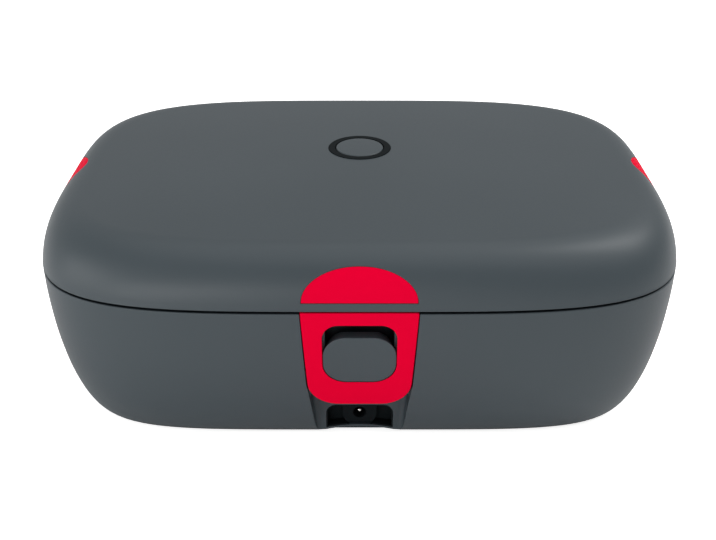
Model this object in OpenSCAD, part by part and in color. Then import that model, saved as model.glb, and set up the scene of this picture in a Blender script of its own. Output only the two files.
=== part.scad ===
// Heated lunch box: a soft rounded rectangle with a lift-off lid, a swing latch
// on each side, a push steam vent, a lift-out dish and a low-voltage inlet.
// Front is -Y, the long side runs along X, and the feet stand on Z = 0.

/* [Body] */
// Width across the seam
body_w = 270; // [240:1:300]
// Depth across the seam
body_d = 190; // [175:1:220]
// Height of the base shell up to the seam
seam_h = 70.2; // [66:0.1:82]
// Height of the lid shell above the seam
lid_h = 24; // [20:0.1:30]
// Height that the feet lift the shell
foot_h = 1.2; // [0.8:0.1:3]
// Open line between base and lid
seam_gap = 1; // [0.8:0.1:1.4]

/* [Form] */
// Squareness of the outline at the seam
seam_power = 4.17; // [3.6:0.01:5]
// Squareness of the outline at the bottom
bottom_power = 5.55; // [4.5:0.05:6.5]
// Squareness of the outline at the lid top
top_power = 3.7; // [3.2:0.05:4.2]
// Lean of the base walls, as a share of their height
base_lean = 0.059; // [0.03:0.001:0.08]
// Width of the bottom edge rounding
base_round = 17.1; // [14:0.1:20]
// Fullness of the bottom edge rounding
base_curve = 1.99; // [1.8:0.01:2.3]
// Width of the lid shoulder
lid_round = 18; // [14:0.5:22]
// Fullness of the lid shoulder above the seam
lid_curve = 1.9; // [1.7:0.01:2.2]
// Fullness of the lid shoulder where it runs into the top
lid_blend = 2.5; // [2:0.05:3]
// Rise of the lid's crowned top
lid_crown = 1; // [0.6:0.1:2.4]

/* [Walls] */
// Wall of the two outer shells
shell_t = 2.4; // [2:0.1:3]
// Wall of the tub and the lid liner
liner_t = 2; // [1.6:0.1:2.4]
// Sheet of the steel dish
dish_t = 0.8; // [0.6:0.1:1.2]

/* [Latches] */
// Width of a latch at its top
latch_w = 45.8; // [42:0.1:48]
// Narrowing of a latch towards its lower end
latch_taper = 3.8; // [2:0.1:5]
// Length of a latch
latch_len = 47.9; // [46:0.1:49]
// Thickness of a latch
latch_t = 2.2; // [2:0.1:2.6]
// Corner radius at a latch's lower end
latch_corner = 12.5; // [10:0.5:14]
// Width of the latch window
window_w = 29.3; // [26:0.1:31]
// Height of the latch window
window_h = 28.5; // [27:0.1:30]
// Window top below the seam
window_drop = 6; // [5:0.1:7]
// Catch pad top below the window top
pad_drop = 6.7; // [5:0.1:8]
// Diameter of the latch pins
latch_pin_d = 1.6; // [1.4:0.1:1.8]
// Depth of a latch pin behind the latch face
latch_pin_in = 3.2; // [3:0.1:3.4]
// Height of a latch pin below the seam
latch_pin_drop = 2.8; // [2.7:0.1:3.2]
// Depth of the finger recess behind the seam outline
recess_in = 16.5; // [15.5:0.1:17]
// Width of the finger recess at the bottom edge
recess_foot_w = 34; // [30:0.5:38]

/* [Latch caps] */
// Width of a cap
cap_w = 44.8; // [40:0.1:47]
// Height of the front and back caps
cap_h = 13.2; // [11:0.1:14]
// Distance of the end caps' apex below the top of the lid shoulder
cap_top_drop = 0.9; // [0.6:0.1:4]
// Fullness of a cap's arch
cap_power = 2.15; // [2:0.05:2.4]
// Lid band left under a cap, above the seam
cap_rise = 4.2; // [4:0.1:5.5]
// Thickness of a cap
cap_t = 1.8; // [1.4:0.1:2.2]

/* [Vent] */
// Outer diameter of the vent ring
vent_ring_d = 28.6; // [26:0.1:31]
// Diameter of the vent button
vent_button_d = 21.8; // [19:0.1:23]
// Vent centre behind the middle of the lid
vent_y = 13.4; // [10:0.1:22]
// Travel of the vent button
vent_travel = 1.5; // [1:0.1:2]
// Diameter of the vent stem
stem_d = 4; // [3:0.1:5]

/* [Dish] */
// Distance of the tub opening from the widest outline
tub_in = 25; // [24:0.5:32]
// Corner radius of the tub opening
tub_corner = 28; // [24:1:34]
// Depth of the tub
tub_deep = 50; // [46:0.5:52]
// Width of the dish rim
rim_w = 7; // [6:0.1:7.5]

/* [Inlet] */
// Diameter of the inlet bore
jack_bore_d = 5.6; // [5:0.1:6.4]
// Diameter of the centre pin
jack_pin_d = 2.1; // [1.6:0.1:2.5]
// Height of the inlet centre above the shell bottom
jack_z = 10.7; // [10:0.1:11]
// Length of the inlet body
jack_l = 13; // [11:0.5:16]
// Width of the inlet body
jack_w = 14.4; // [13:0.1:16]
// Width of the inlet bay
bay_w = 28; // [24:0.5:30]
// Height of the inlet bay's top above the shell bottom
bay_h = 15.3; // [14.8:0.1:16.5]
// Corner radius at the top of the inlet bay
bay_corner = 4; // [2:0.5:5]
// Crown of the arched notch under the inlet bay, above the shell bottom
arch_h = 4.3; // [3.6:0.1:4.8]
// Radius of the arched notch
arch_r = 62; // [50:1:80]
// Depth of the arched notch
arch_deep = 4.5; // [2:0.5:6]
// Thickness of the sill between the notch and the bay
sill_t = 1; // [0.8:0.1:1.4]

/* [Heater] */
// Width of the heating plate
plate_w = 150; // [130:1:170]
// Depth of the heating plate
plate_d = 96; // [84:1:108]
// Thickness of the heating plate's top
plate_t = 2; // [1.6:0.1:2.5]
// Length of the heating element
element_l = 96; // [80:1:100]
// Width of the heating element
element_w = 24; // [20:1:28]
// Thickness of the heating element
element_t = 5; // [4:0.1:5.5]
// Length of the thermostat
stat_l = 20; // [16:1:24]
// Length of the thermal fuse
fuse_l = 14; // [10:1:18]
// Diameter of the leads
lead_d = 1.8; // [1.2:0.1:2.4]
// Thickness of the insulation pad
felt_t = 3; // [2:0.5:4]

/* [Fasteners] */
// Spacing of the base screws along the width
screw_x = 140; // [130:1:150]
// Spacing of the base screws along the depth
screw_y = 96; // [90:1:104]
// Diameter of the base screws
screw_d = 3; // [2.5:0.1:3.5]
// Height of the screw bosses above the shell floor
boss_h = 4; // [3:0.5:5]
// Distance of the feet's centres from the widest outline
foot_in = 40; // [38:0.5:46]
// Diameter of the feet
foot_d = 14; // [10:0.5:16]

/* [Fits] */
// Gap between a piece and the pocket it is set in
set_gap = 0.12; // [0.08:0.01:0.2]
// Gap between a latch and its recess
latch_gap = 0.4; // [0.35:0.01:0.5]
// Radial clearance of a pin that turns or slides
run_gap = 0.05; // [0.03:0.01:0.09]
// Gap between a latch knuckle and the lug beside it
end_gap = 0.4; // [0.3:0.05:0.6]

/* [Hidden] */

grey = "#495154";
red = "#EA0433";
black = "#1D2427";

segments = 64;
base_steps = 9;
lid_steps = 6;
arc_steps = 5;
side_steps = 4;
cap_steps = 9;
columns = 2;
crown_rings = [0.7, 0.35, 0.1];
over = 5;
eps = 0.01;

seam_z = foot_h + seam_h;
base_top = seam_z - seam_gap / 2;
lid_bottom = seam_z + seam_gap / 2;
shoulder_h = lid_h - lid_crown;
top_z = seam_z + lid_h;
FRONT = 0;
RIGHT = 1;
BACK = 2;
LEFT = 3;
SIDES = [FRONT, RIGHT, BACK, LEFT];

// ---- Form: superelliptic rings stacked into shells ----

function spow(v, k) = sign(v) * pow(abs(v), k);

function ring(a, b, power, z) = [
    for (i = [0 : segments - 1])
        let (t = 360 * i / segments)
        [a * spow(cos(t), 2 / power), b * spow(sin(t), 2 / power), z]
];

function mix(p, q, t) = p + (q - p) * t;

// Way in at the share t of an edge rounding, c0 full where it starts, c1 where it ends
function curve_in(width, c0, c1, t) = width * (1 - pow(max(1 - pow(t, c0), 0), 1 / c1));

function shoulder_in(u) = curve_in(lid_round, lid_curve, lid_blend, u);

// Inset of the base wall at the share s of the way down from the seam
function base_in(s) =
    base_lean * seam_h * s + curve_in(base_round, base_curve, base_curve, s);

// One ring of the base form, moved inwards by d
function base_ring(s, d) = ring(
    body_w / 2 - base_in(s) - d, body_d / 2 - base_in(s) - d,
    mix(seam_power, bottom_power, s), seam_z - seam_h * s + d * s
);

// One ring of the lid shoulder, moved inwards by d
function lid_ring(u, d) = ring(
    body_w / 2 - shoulder_in(u) - d, body_d / 2 - shoulder_in(u) - d,
    mix(seam_power, top_power, u), seam_z + (shoulder_h - d) * u
);

// One ring of the crowned top, at the share r of the way out
function crown_ring(r, d) = ring(
    (body_w / 2 - lid_round - d) * r, (body_d / 2 - lid_round - d) * r,
    top_power, seam_z + shoulder_h - d + lid_crown * (1 - r * r)
);

// Solid through a row of rings, each turning left about the way the row runs
module stack(rings) {
    n = len(rings[0]);
    top = (len(rings) - 1) * n;
    polyhedron(
        points = [for (r = rings) each r],
        faces = [
            [for (i = [0 : n - 1]) i],
            for (k = [0 : len(rings) - 2], i = [0 : n - 1])
                let (p = k * n + i, q = k * n + (i + 1) % n)
                each [[p, p + n, q + n], [p, q + n, q]],
            [for (i = [n - 1 : -1 : 0]) top + i]
        ]
    );
}

// Solid base form, moved inwards by d and run straight on above the seam
module base_form(d) {
    rise = [for (k = [base_steps : -1 : 0]) base_ring(sin(90 * k / base_steps), d)];
    run_on = [for (p = base_ring(0, d)) p + [0, 0, over]];
    stack(concat(rise, [run_on]));
}

// Solid lid form, moved inwards by d and run straight on below the seam
module lid_form(d) {
    rise = [for (k = [0 : lid_steps]) lid_ring(sin(90 * k / lid_steps), d)];
    run_on = [for (p = lid_ring(0, d)) p - [0, 0, over]];
    stack(concat([run_on], rise, [for (r = crown_rings) crown_ring(r, d)]));
}

module above(z) {
    translate([-body_w, -body_d, z]) cube([2 * body_w, 2 * body_d, top_z]);
}

module below(z) {
    translate([-body_w, -body_d, z - top_z]) cube([2 * body_w, 2 * body_d, top_z]);
}

// ---- Plain shapes ----

// Rounded rectangle, w by d, standing on z
module slab(w, d, h, r, z) {
    translate([0, 0, z]) linear_extrude(h) {
        square([w - 2 * r, d], center = true);
        square([w, d - 2 * r], center = true);
        for (x = [-1, 1], y = [-1, 1])
            translate([x * (w / 2 - r), y * (d / 2 - r)]) circle(r, $fn = 48);
    }
}

module rod(d, h, z) {
    translate([0, 0, z]) cylinder(d = d, h = h, $fn = 48);
}

// Rod along X, centred on x = 0
module cross_rod(d, l) {
    rotate([0, 90, 0]) cylinder(d = d, h = l, center = true, $fn = 48);
}

module at_corners(dx, dy) {
    for (x = [-1, 1], y = [-1, 1]) translate([x * dx / 2, y * dy / 2, 0]) children();
}

// ---- Sides: a latch station looks along -Y, then turns to its side ----

function half_span(side) = (side % 2 == 0 ? body_d : body_w) / 2;

module on_side(side) {
    rotate([0, 0, 90 * side]) children();
}

function arc(cx, cz, r, a0, a1) = [
    for (i = [0 : arc_steps])
        let (a = mix(a0, a1, i / arc_steps))
        [cx + r * cos(a), cz + r * sin(a)]
];

// Right half of a rounded plate outline, from the bottom up
function half_outline(top_w, foot_w, z0, z1, r0, r1) =
    let (
        low = arc(foot_w / 2 - r0, z0 + r0, r0, -90, 0),
        high = arc(top_w / 2 - r1, z1 - r1, r1, 0, 90),
        p = low[arc_steps], q = high[0]
    )
    concat(low, [for (i = [1 : side_steps - 1]) mix(p, q, i / side_steps)], high);

// Distance of the outer form from the middle, on a side, at [x, z]
function face_y(side, x, z) =
    let (
        s = min(max((seam_z - z) / seam_h, 0), 1),
        u = min(max((z - seam_z) / shoulder_h, 0), 1),
        inset = base_in(s) + shoulder_in(u),
        power = s > 0 ? mix(seam_power, bottom_power, s) : mix(seam_power, top_power, u),
        reach = (side % 2 == 0 ? body_w : body_d) / 2 - inset
    )
    (half_span(side) - inset) * pow(1 - pow(abs(x) / reach, power), 1 / power);

// Outline laid at the distance out off the outer form, which it follows at ref
function sheet(side, ref, outline, out) = [
    for (i = [0 : len(ref) - 1], j = [-columns : columns])
        let (t = j / columns)
        [outline[i][0] * t, -face_y(side, ref[i][0] * t, ref[i][1]) - out, outline[i][1]]
];

// Block between the outlines face and back, which lie out0 and out1 off the form
module bent_block(side, ref, face, out0, back, out1) {
    n = len(ref);
    m = 2 * columns + 1;
    b = n * m;
    on_side(side) polyhedron(
        points = concat(sheet(side, ref, face, out0), sheet(side, ref, back, out1)),
        faces = [
            for (i = [0 : n - 2], j = [0 : m - 2]) let (p = i * m + j) each [
                [p, p + m, p + m + 1], [p, p + m + 1, p + 1],
                [b + p, b + p + m + 1, b + p + m], [b + p, b + p + 1, b + p + m + 1]
            ],
            for (i = [0 : n - 2]) let (p = i * m, q = i * m + m - 1) each [
                [q, q + m, b + q + m], [q, b + q + m, b + q],
                [p, b + p + m, p + m], [p, b + p, b + p + m]
            ],
            for (j = [0 : m - 2]) let (q = b - m + j) each [
                [j + 1, b + j + 1, b + j], [j + 1, b + j, j],
                [q, b + q, b + q + 1], [q, b + q + 1, q + 1]
            ]
        ]
    );
}

// ---- Latch, window and catch pad ----

latch_top = seam_z;
latch_foot = latch_top - latch_len;
latch_back = latch_t + latch_gap;
side_draft = 0.1;
foot_draft = 1.6;
knuckle_r = latch_pin_d / 2 + 1.2;
knuckle_w = 28;
lug_w = 4;
lug_r = latch_pin_d / 2 + 0.8;
lug_reach = 11.6;
pin_z = seam_z - latch_pin_drop;
latch_sweep = norm([latch_pin_in, latch_top - pin_z]) + 0.3;
pad_edge = 9;
window_top = seam_z - window_drop;
window_foot = window_top - window_h;
window_foot_r = 9.5;
window_top_r = 6.3;
recess_top = latch_foot + 5.5;
lug_x = knuckle_w / 2 + end_gap + lug_w / 2;
pocket_w = knuckle_w + 2 * lug_w + 6 * end_gap;
pocket_deep = lug_reach + 0.6;
pocket_foot = pin_z - knuckle_r - 1;
well_w = window_w - 2;
well_foot = window_top - pad_drop - pad_edge;

function latch_half(g) = half_outline(
    latch_w + 2 * g, latch_w - latch_taper + 2 * g,
    latch_foot, latch_top, latch_corner, 1
);

// Recess outline, g wider than the latch, running past it at both ends
function recess_half(g) = half_outline(
    latch_w + 2 * g, latch_w - latch_taper + 2 * g,
    latch_foot - 2, latch_top + over, 1, 1
);

function window_half(g) = half_outline(
    window_w + 2 * g, window_w + 2 * g, window_foot - g, window_top,
    window_foot_r, window_top_r
);

// Catch pad outline, g inside the window at its sides and foot
function pad_half(g) = half_outline(
    window_w - 2 * g, window_w - 2 * g, window_foot + g, window_top - pad_drop,
    window_foot_r, pad_edge
);

// Outline moved out at its sides by x and down at its foot by z
function spread(outline, x, z) =
    let (top = outline[len(outline) - 1][1], tall = top - outline[0][1])
    [for (p = outline) [p[0] + x, p[1] - z * min(2 * (top - p[1]) / tall, 1)]];

// Block through an outline on the form, that widens with depth by its drafts
module drafted_block(side, outline, sides, foot, out0, out1) {
    bent_block(
        side, outline, spread(outline, -out0 * sides, -out0 * foot), out0,
        spread(outline, -out1 * sides, -out1 * foot), out1
    );
}

module at_pin(side) {
    on_side(side) translate([0, latch_pin_in - half_span(side), pin_z]) children();
}

module latch(side) {
    color(red) difference() {
        union() {
            drafted_block(side, latch_half(0), -side_draft, 0, 0, -latch_t);
            at_pin(side) {
                cross_rod(2 * knuckle_r, knuckle_w);
                translate([-knuckle_w / 2, -latch_pin_in + latch_t / 2, -knuckle_r])
                    cube([knuckle_w, latch_pin_in - latch_t / 2, 2 * knuckle_r]);
            }
        }
        drafted_block(side, window_half(0), side_draft, foot_draft, 1, -2 * over);
        at_pin(side) {
            cross_rod(latch_pin_d + 2 * run_gap, body_w / 4);
            // Room for the lid's lugs behind the face of the latch
            for (x = [-1, 1]) translate([x * lug_x, 0, 0]) {
                room = lug_r + latch_gap;
                cross_rod(2 * room, lug_w + 2 * end_gap);
                translate([-lug_w / 2 - end_gap, -room, 0])
                    cube([lug_w + 2 * end_gap, latch_pin_in, over]);
            }
        }
    }
}

// Catch pad that fills the lower part of the latch window
module catch_pad(side) {
    drafted_block(side, pad_half(latch_gap), side_draft, foot_draft, 0, -latch_back - shell_t);
}

// Wall behind a latch recess, finger recess, pin pocket and window well
module station_wall(side) {
    drafted_block(side, recess_half(2), 0, 0, -eps, -latch_back - shell_t);
    on_side(side) {
        finger_block(side, shell_t);
        pocket_block(side, liner_t);
    }
}

// Pin pocket and the well behind the open part of the window, grown by g
module pocket_block(side, g) {
    translate([0, -half_span(side) - over, 0]) {
        translate([-pocket_w / 2 - g, 0, pocket_foot - g])
            cube([pocket_w + 2 * g, over + pocket_deep + g, over * 2]);
        translate([-well_w / 2 - g, 0, well_foot - g])
            cube([well_w + 2 * g, over + pocket_deep + g, pocket_foot - well_foot + g + 1]);
    }
}

// Finger recess under a latch, grown by g on its inner sides
module finger_block(side, g) {
    wide = latch_w - latch_taper + 1;
    translate([0, recess_in + g - half_span(side), 0]) rotate([90, 0, 0])
        linear_extrude(recess_in + g + over) polygon([
            [-recess_foot_w / 2 - g, -over], [recess_foot_w / 2 + g, -over],
            [wide / 2 + g, latch_foot + 2], [wide / 2 + g, recess_top + g],
            [-wide / 2 - g, recess_top + g], [-wide / 2 - g, latch_foot + 2]
        ]);
}

module station_cut(side) {
    drafted_block(side, recess_half(latch_gap), -side_draft, 0, over, -latch_back);
    on_side(side) pocket_block(side, 0);
}

// ---- Base shell ----

floor_z = foot_h + shell_t;
jack_face_y = recess_in - body_d / 2;
bay_top = foot_h + bay_h;
arch_z = foot_h + arch_h - arch_r;
boss_top = floor_z + boss_h;
boss_d = 11;
foot_x = body_w - 2 * foot_in;
foot_y = body_d - 2 * foot_in;
foot_sink = 1.2;
head_deep = 3.6;

module base_shell() {
    color(grey) difference() {
        union() {
            difference() {
                intersection() {
                    base_form(0);
                    union() {
                        difference() {
                            translate([-body_w, -body_d, 0])
                                cube([2 * body_w, 2 * body_d, top_z]);
                            base_form(shell_t);
                        }
                        for (side = SIDES) station_wall(side);
                        sill_block();
                    }
                }
                for (side = SIDES) station_cut(side);
                above(base_top);
            }
            for (side = SIDES) catch_pad(side);
            at_corners(screw_x, screw_y) rod(boss_d, boss_top - foot_h, foot_h);
        }
        for (side = SIDES) on_side(side) finger_block(side, 0);
        at_corners(screw_x, screw_y) {
            rod(screw_d + 0.4, over * 3, 0);
            rod(2 * screw_d + 0.8, head_deep, foot_h);
        }
        at_corners(foot_x, foot_y) rod(foot_d + 2 * set_gap, foot_h + foot_sink, 0);
        bay(set_gap, shell_t + over);
        // Arched notch in the bottom edge under the bay
        intersection() {
            translate([0, jack_face_y + arch_deep, arch_z]) rotate([90, 0, 0])
                cylinder(r = arch_r, h = arch_deep + over, $fn = 180);
            translate([-recess_foot_w / 2, -body_d, 0])
                cube([recess_foot_w, body_d, 2 * bay_top]);
        }
    }
}

// Block over the arched notch, that the sill and the sides of the bay are cut from
module sill_block() {
    w = recess_foot_w + 2 * shell_t;
    translate([-w / 2, jack_face_y, foot_h])
        cube([w, arch_deep + shell_t, arch_h + 2 * sill_t]);
}

// Opening of the inlet bay
module bay(g, deep) {
    translate([0, jack_face_y + deep, 0]) rotate([90, 0, 0]) linear_extrude(deep + over)
        bay_outline(g);
}

// Bay outline: rounded at the top, arched at the foot over the sill
module bay_outline(g) {
    r = bay_corner + g;
    w = bay_w + 2 * g;
    z1 = bay_top + g;
    difference() {
        union() {
            translate([-w / 2, foot_h]) square([w, z1 - r - foot_h]);
            translate([-w / 2 + r, z1 - r - 1]) square([w - 2 * r, r + 1]);
            for (x = [-1, 1]) translate([x * (w / 2 - r), z1 - r]) circle(r, $fn = 48);
        }
        translate([0, arch_z]) circle(arch_r + sill_t - g, $fn = 180);
    }
}

// ---- Tub, dish and base pieces ----

tub_w = body_w - 2 * tub_in;
tub_d = body_d - 2 * tub_in;
tub_floor = base_top - tub_deep;
tub_under = tub_floor - liner_t;
flange_t = 2.2;
rim_sink = dish_t + 0.2;
rim_top = base_top - 0.2;
dish_gap = 1.4;
dish_w = tub_w - 2 * dish_gap;
dish_d = tub_d - 2 * dish_gap;
dish_corner = tub_corner - dish_gap;
dish_floor = tub_floor + plate_t;
dish_fillet = 7;

// Gap between a liner's flange and the shell around it
flange_gap = 0.3;

// Flat flange with the outline of one ring of a form
module flange(ring, h, z) {
    translate([0, 0, z]) linear_extrude(h) polygon([for (p = ring) [p[0], p[1]]]);
}

// Room left in a flange for the latch stations
module station_notches(g) {
    w = latch_w + 2 * liner_t;
    for (side = SIDES) on_side(side)
        translate([-w / 2 - g, -half_span(side) - over, foot_h])
            cube([w + 2 * g, over + pocket_deep + liner_t + g, top_z]);
}

module base_liner() {
    t = liner_t;
    color("#3C4346") difference() {
        union() {
            difference() {
                flange(base_ring(0, shell_t + flange_gap), flange_t, base_top - flange_t);
                station_notches(flange_gap);
            }
            slab(tub_w + 2 * t, tub_d + 2 * t, base_top - tub_under, tub_corner + t, tub_under);
            at_corners(screw_x, screw_y) rod(boss_d - 2, tub_under - boss_top, boss_top);
        }
        slab(tub_w, tub_d, tub_deep + 1, tub_corner, tub_floor);
        slab(
            dish_w + 2 * rim_w + 0.6, dish_d + 2 * rim_w + 0.6,
            over, dish_corner + rim_w, base_top - rim_sink
        );
        slab(plate_w - 6, plate_d - 6, 2 * t, 9, tub_under - t);
        at_corners(screw_x, screw_y) rod(screw_d, tub_under - boss_top, boss_top - eps);
    }
}

// Pan with a filleted floor edge: walls, floor and rounded edge in one solid
module pan(w, d, r, z0, z1, f) {
    slab(w, d, z1 - z0 - f, r, z0 + f);
    slab(w - 2 * f, d - 2 * f, f + eps, r - f, z0);
    for (x = [-1, 1], y = [-1, 1])
        translate([x * (w / 2 - r), y * (d / 2 - r), z0 + f]) rotate_extrude($fn = 48)
            translate([r - f, 0]) {
                intersection() {
                    circle(f, $fn = 48);
                    translate([0, -f]) square([f, f + eps]);
                }
                translate([-f / 2, -f]) square([f / 2 + eps, f + eps]);
            }
    for (y = [-1, 1]) translate([0, y * (d / 2 - f), z0 + f]) cross_rod(2 * f, w - 2 * r);
    for (x = [-1, 1]) translate([x * (w / 2 - f), 0, z0 + f])
        rotate([0, 0, 90]) cross_rod(2 * f, d - 2 * r);
}

module inner_dish() {
    t = dish_t;
    color("#C9CDCF") difference() {
        union() {
            pan(dish_w, dish_d, dish_corner, dish_floor, rim_top - t, dish_fillet);
            slab(dish_w + 2 * rim_w, dish_d + 2 * rim_w, t, dish_corner + rim_w, rim_top - t);
        }
        pan(
            dish_w - 2 * t, dish_d - 2 * t, dish_corner - t,
            dish_floor + t, rim_top + 1, dish_fillet - t
        );
    }
}

stud_x = element_l + 12;
stud_d = 8;
clamp_t = 1.2;
clamp_screw_d = 2.5;

module heating_plate() {
    color("#B7BCBE") difference() {
        union() {
            slab(plate_w, plate_d, plate_t, 12, tub_floor);
            slab(plate_w - 6.4, plate_d - 6.4, liner_t + eps, 8.8, tub_under);
            for (x = [-1, 1]) translate([x * stud_x / 2, 0, 0])
                rod(stud_d, element_t + eps, tub_under - element_t);
        }
        for (x = [-1, 1]) translate([x * stud_x / 2, 0, 0])
            rod(clamp_screw_d, element_t + liner_t, tub_under - element_t - eps);
    }
}

module heating_element() {
    color("#A9A49A") translate([-element_l / 2, -element_w / 2, tub_under - element_t])
        cube([element_l, element_w, element_t]);
}

clamp_z = tub_under - element_t - clamp_t;

module element_clamp() {
    color("#8E9496") difference() {
        slab(stud_x + stud_d + 6, 2 * stud_d, clamp_t, stud_d / 2, clamp_z);
        for (x = [-1, 1]) translate([x * stud_x / 2, 0, 0])
            rod(clamp_screw_d + 0.4, 2 * clamp_t, clamp_z - clamp_t / 2);
    }
}

module clamp_screws() {
    color("#D5D8DA") for (x = [-1, 1]) translate([x * stud_x / 2, 0, 0]) {
        rod(clamp_screw_d, element_t + clamp_t + 0.3, clamp_z - eps);
        rod(2 * clamp_screw_d, 1.8, clamp_z - 1.8);
    }
}

stat_x = -30;
stat_y = element_w / 2 + 8.5;
stat_h = 4;
tab_l = 5;
fuse_x = 20;
fuse_y = stat_y;
fuse_d = 4;

module thermostat() {
    color("#2A2A2A") translate([stat_x - stat_l / 2, stat_y - 4.5, tub_under - stat_h])
        cube([stat_l, 9, stat_h]);
    color("#C9A35B") translate([stat_x + stat_l / 2, stat_y - 2.5, tub_under - 3])
        cube([tab_l, 1.2, 2]);
}

module thermal_fuse() {
    color("#D9D2C2") translate([fuse_x, fuse_y, tub_under - fuse_d / 2])
        cross_rod(fuse_d, fuse_l);
}

module insulation_pad() {
    color("#E4E0D4") slab(plate_w - 24, plate_d - 10, felt_t, 8, floor_z);
}

module base_screws() {
    color("#9BA0A2") at_corners(screw_x, screw_y) {
        rod(screw_d, 12, foot_h + head_deep - eps);
        difference() {
            rod(2 * screw_d, 2, foot_h + head_deep - 2);
            for (a = [0, 90]) rotate([0, 0, a])
                translate([-1.6, -0.35, foot_h]) cube([3.2, 0.7, head_deep - 1]);
        }
    }
}

module feet() {
    color(black) at_corners(foot_x, foot_y) rod(foot_d, foot_h + foot_sink, 0);
}

// ---- Inlet ----

nose_y = jack_face_y + 1.2;
jack_mid = foot_h + jack_z;

jack_top = bay_top - 1.2;
jack_foot = foot_h + arch_h + sill_t + 0.3;
jack_hole_l = 9;

// Inlet body outline: flat top, half-round foot
module jack_outline(g) {
    r = jack_w / 2 + g;
    intersection() {
        translate([0, jack_mid]) circle(r, $fn = 48);
        translate([-r, jack_mid - r]) square([2 * r, r + eps]);
    }
    translate([-r, jack_mid]) square([2 * r, jack_top + g - jack_mid]);
}

module power_jack() {
    color(black) difference() {
        translate([0, nose_y + jack_l, 0]) rotate([90, 0, 0]) linear_extrude(jack_l)
            intersection() {
                jack_outline(0);
                translate([-jack_w, jack_foot]) square([2 * jack_w, jack_top - jack_foot]);
            }
        translate([0, nose_y + jack_hole_l, jack_mid]) rotate([90, 0, 0])
            cylinder(d = jack_bore_d, h = jack_hole_l + 1, $fn = 48);
    }
}

module jack_pin() {
    pin_l = jack_hole_l - 1 - jack_pin_d / 2;
    color("#E3DFE0") translate([0, nose_y + jack_hole_l, jack_mid]) rotate([90, 0, 0]) {
        cylinder(d = jack_pin_d, h = pin_l, $fn = 32);
        translate([0, 0, pin_l]) sphere(d = jack_pin_d, $fn = 32);
    }
}

bezel_l = 6;
bezel_t = 1.6;
bezel_rim = 0.5;

// Tray behind the bay, open at the foot where the inlet body passes the sill
module jack_bezel() {
    color(black) difference() {
        translate([0, jack_face_y + bezel_l, 0]) rotate([90, 0, 0])
            linear_extrude(bezel_l - 0.2) bay_outline(0);
        bay_pocket = bezel_l - bezel_t;
        translate([0, jack_face_y + bay_pocket, 0]) rotate([90, 0, 0])
            linear_extrude(bezel_l) bay_outline(-bezel_rim);
        translate([0, jack_face_y + 2 * bezel_l, 0]) rotate([90, 0, 0])
            linear_extrude(3 * bezel_l) jack_outline(set_gap);
    }
}

function unit(v) = v / norm(v);

// Way a line of points runs at its point i, halfway between its two neighbours
function heading(points, i) =
    let (
        before = points[max(i, 1)] - points[max(i, 1) - 1],
        after = points[min(i + 1, len(points) - 1)] - points[min(i, len(points) - 2)]
    )
    unit(unit(before) + unit(after));

// Round lead through a list of points, mitred at each bend
module lead(points, d) {
    stack([
        for (i = [0 : len(points) - 1])
            let (
                t = heading(points, i), u = unit(cross(t, [1, 2, 3])), v = cross(t, u)
            )
            [for (a = [0 : 45 : 315]) points[i] + d / 2 * (cos(a) * u + sin(a) * v)]
    ]);
}

module jack_leads() {
    jack_back = nose_y + jack_l;
    low = clamp_z - 3.6;
    mid = tub_under - fuse_d / 2;
    turn_x = fuse_x + fuse_l / 2 + 7;
    tab_y = stat_y - 1.9;
    tab_x = stat_x + stat_l / 2 + tab_l;
    stat_end = stat_x - stat_l / 2;
    edge_y = element_w / 2;
    color("#A8202C") lead([
        [4, jack_back, jack_mid], [4, jack_back + 3, jack_mid],
        [4, jack_back + 8, low], [turn_x, jack_back + 20, low],
        [turn_x, fuse_y, low], [turn_x - 2, fuse_y, mid], [turn_x - 7, fuse_y, mid]
    ], lead_d);
    color("#A8202C") lead([
        [fuse_x - fuse_l / 2, fuse_y, mid], [fuse_x - fuse_l / 2 - 14, fuse_y, mid],
        [tab_x + 3, tab_y, mid], [tab_x, tab_y, mid]
    ], lead_d);
    color("#22262A") lead([
        [-4, jack_back, jack_mid], [-4, jack_back + 3, jack_mid],
        [-4, jack_back + 8, low], [stat_x, -edge_y - 4, low],
        [stat_x, -edge_y - 4, mid], [stat_x, -edge_y, mid]
    ], lead_d);
    color("#22262A") lead([
        [stat_end, stat_y, mid], [stat_end - 4, stat_y, mid], [stat_end - 4, edge_y, mid]
    ], lead_d);
}

// ---- Lid ----

cap_side_h = shoulder_h - cap_rise - cap_top_drop;

// Right half of a cap outline, from its straight foot up, grown by g
function cap_half(side, g) = [
    for (i = [0 : cap_steps])
        let (t = 84 * i / cap_steps, h = (side % 2 == 0 ? cap_h : cap_side_h) + 2 * g)
        [
            (cap_w / 2 + g) * spow(cos(t), 2 / cap_power),
            seam_z + cap_rise - g + h * spow(sin(t), 2 / cap_power)
        ]
];

module cap(side) {
    color(red) drafted_block(side, cap_half(side, 0), 0, 0, 0, -cap_t);
}

// Block inside the lid wall that carries the two latch lugs
module lug_block(side) {
    w = knuckle_w + 2 * lug_w + 2 * end_gap;
    on_side(side) translate([-w / 2, -half_span(side), lid_bottom])
        cube([w, lug_reach, cap_rise + 5]);
}

module latch_lugs(side) {
    at_pin(side) for (x = [-1, 1])
        translate([x * lug_x, 0, 0]) {
            cross_rod(2 * lug_r, lug_w);
            translate([-lug_w / 2, 0, -lug_r]) {
                reach = lug_reach - latch_pin_in;
                riser = latch_sweep + 0.3;
                cube([lug_w, reach, lug_r]);
                translate([0, riser, 0])
                    cube([lug_w, reach - riser, lug_r + latch_pin_drop + over]);
            }
        }
}

cap_back = cap_t + shell_t;
ring_seat = 1.6;
ring_hole = vent_button_d + 3.4;

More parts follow.
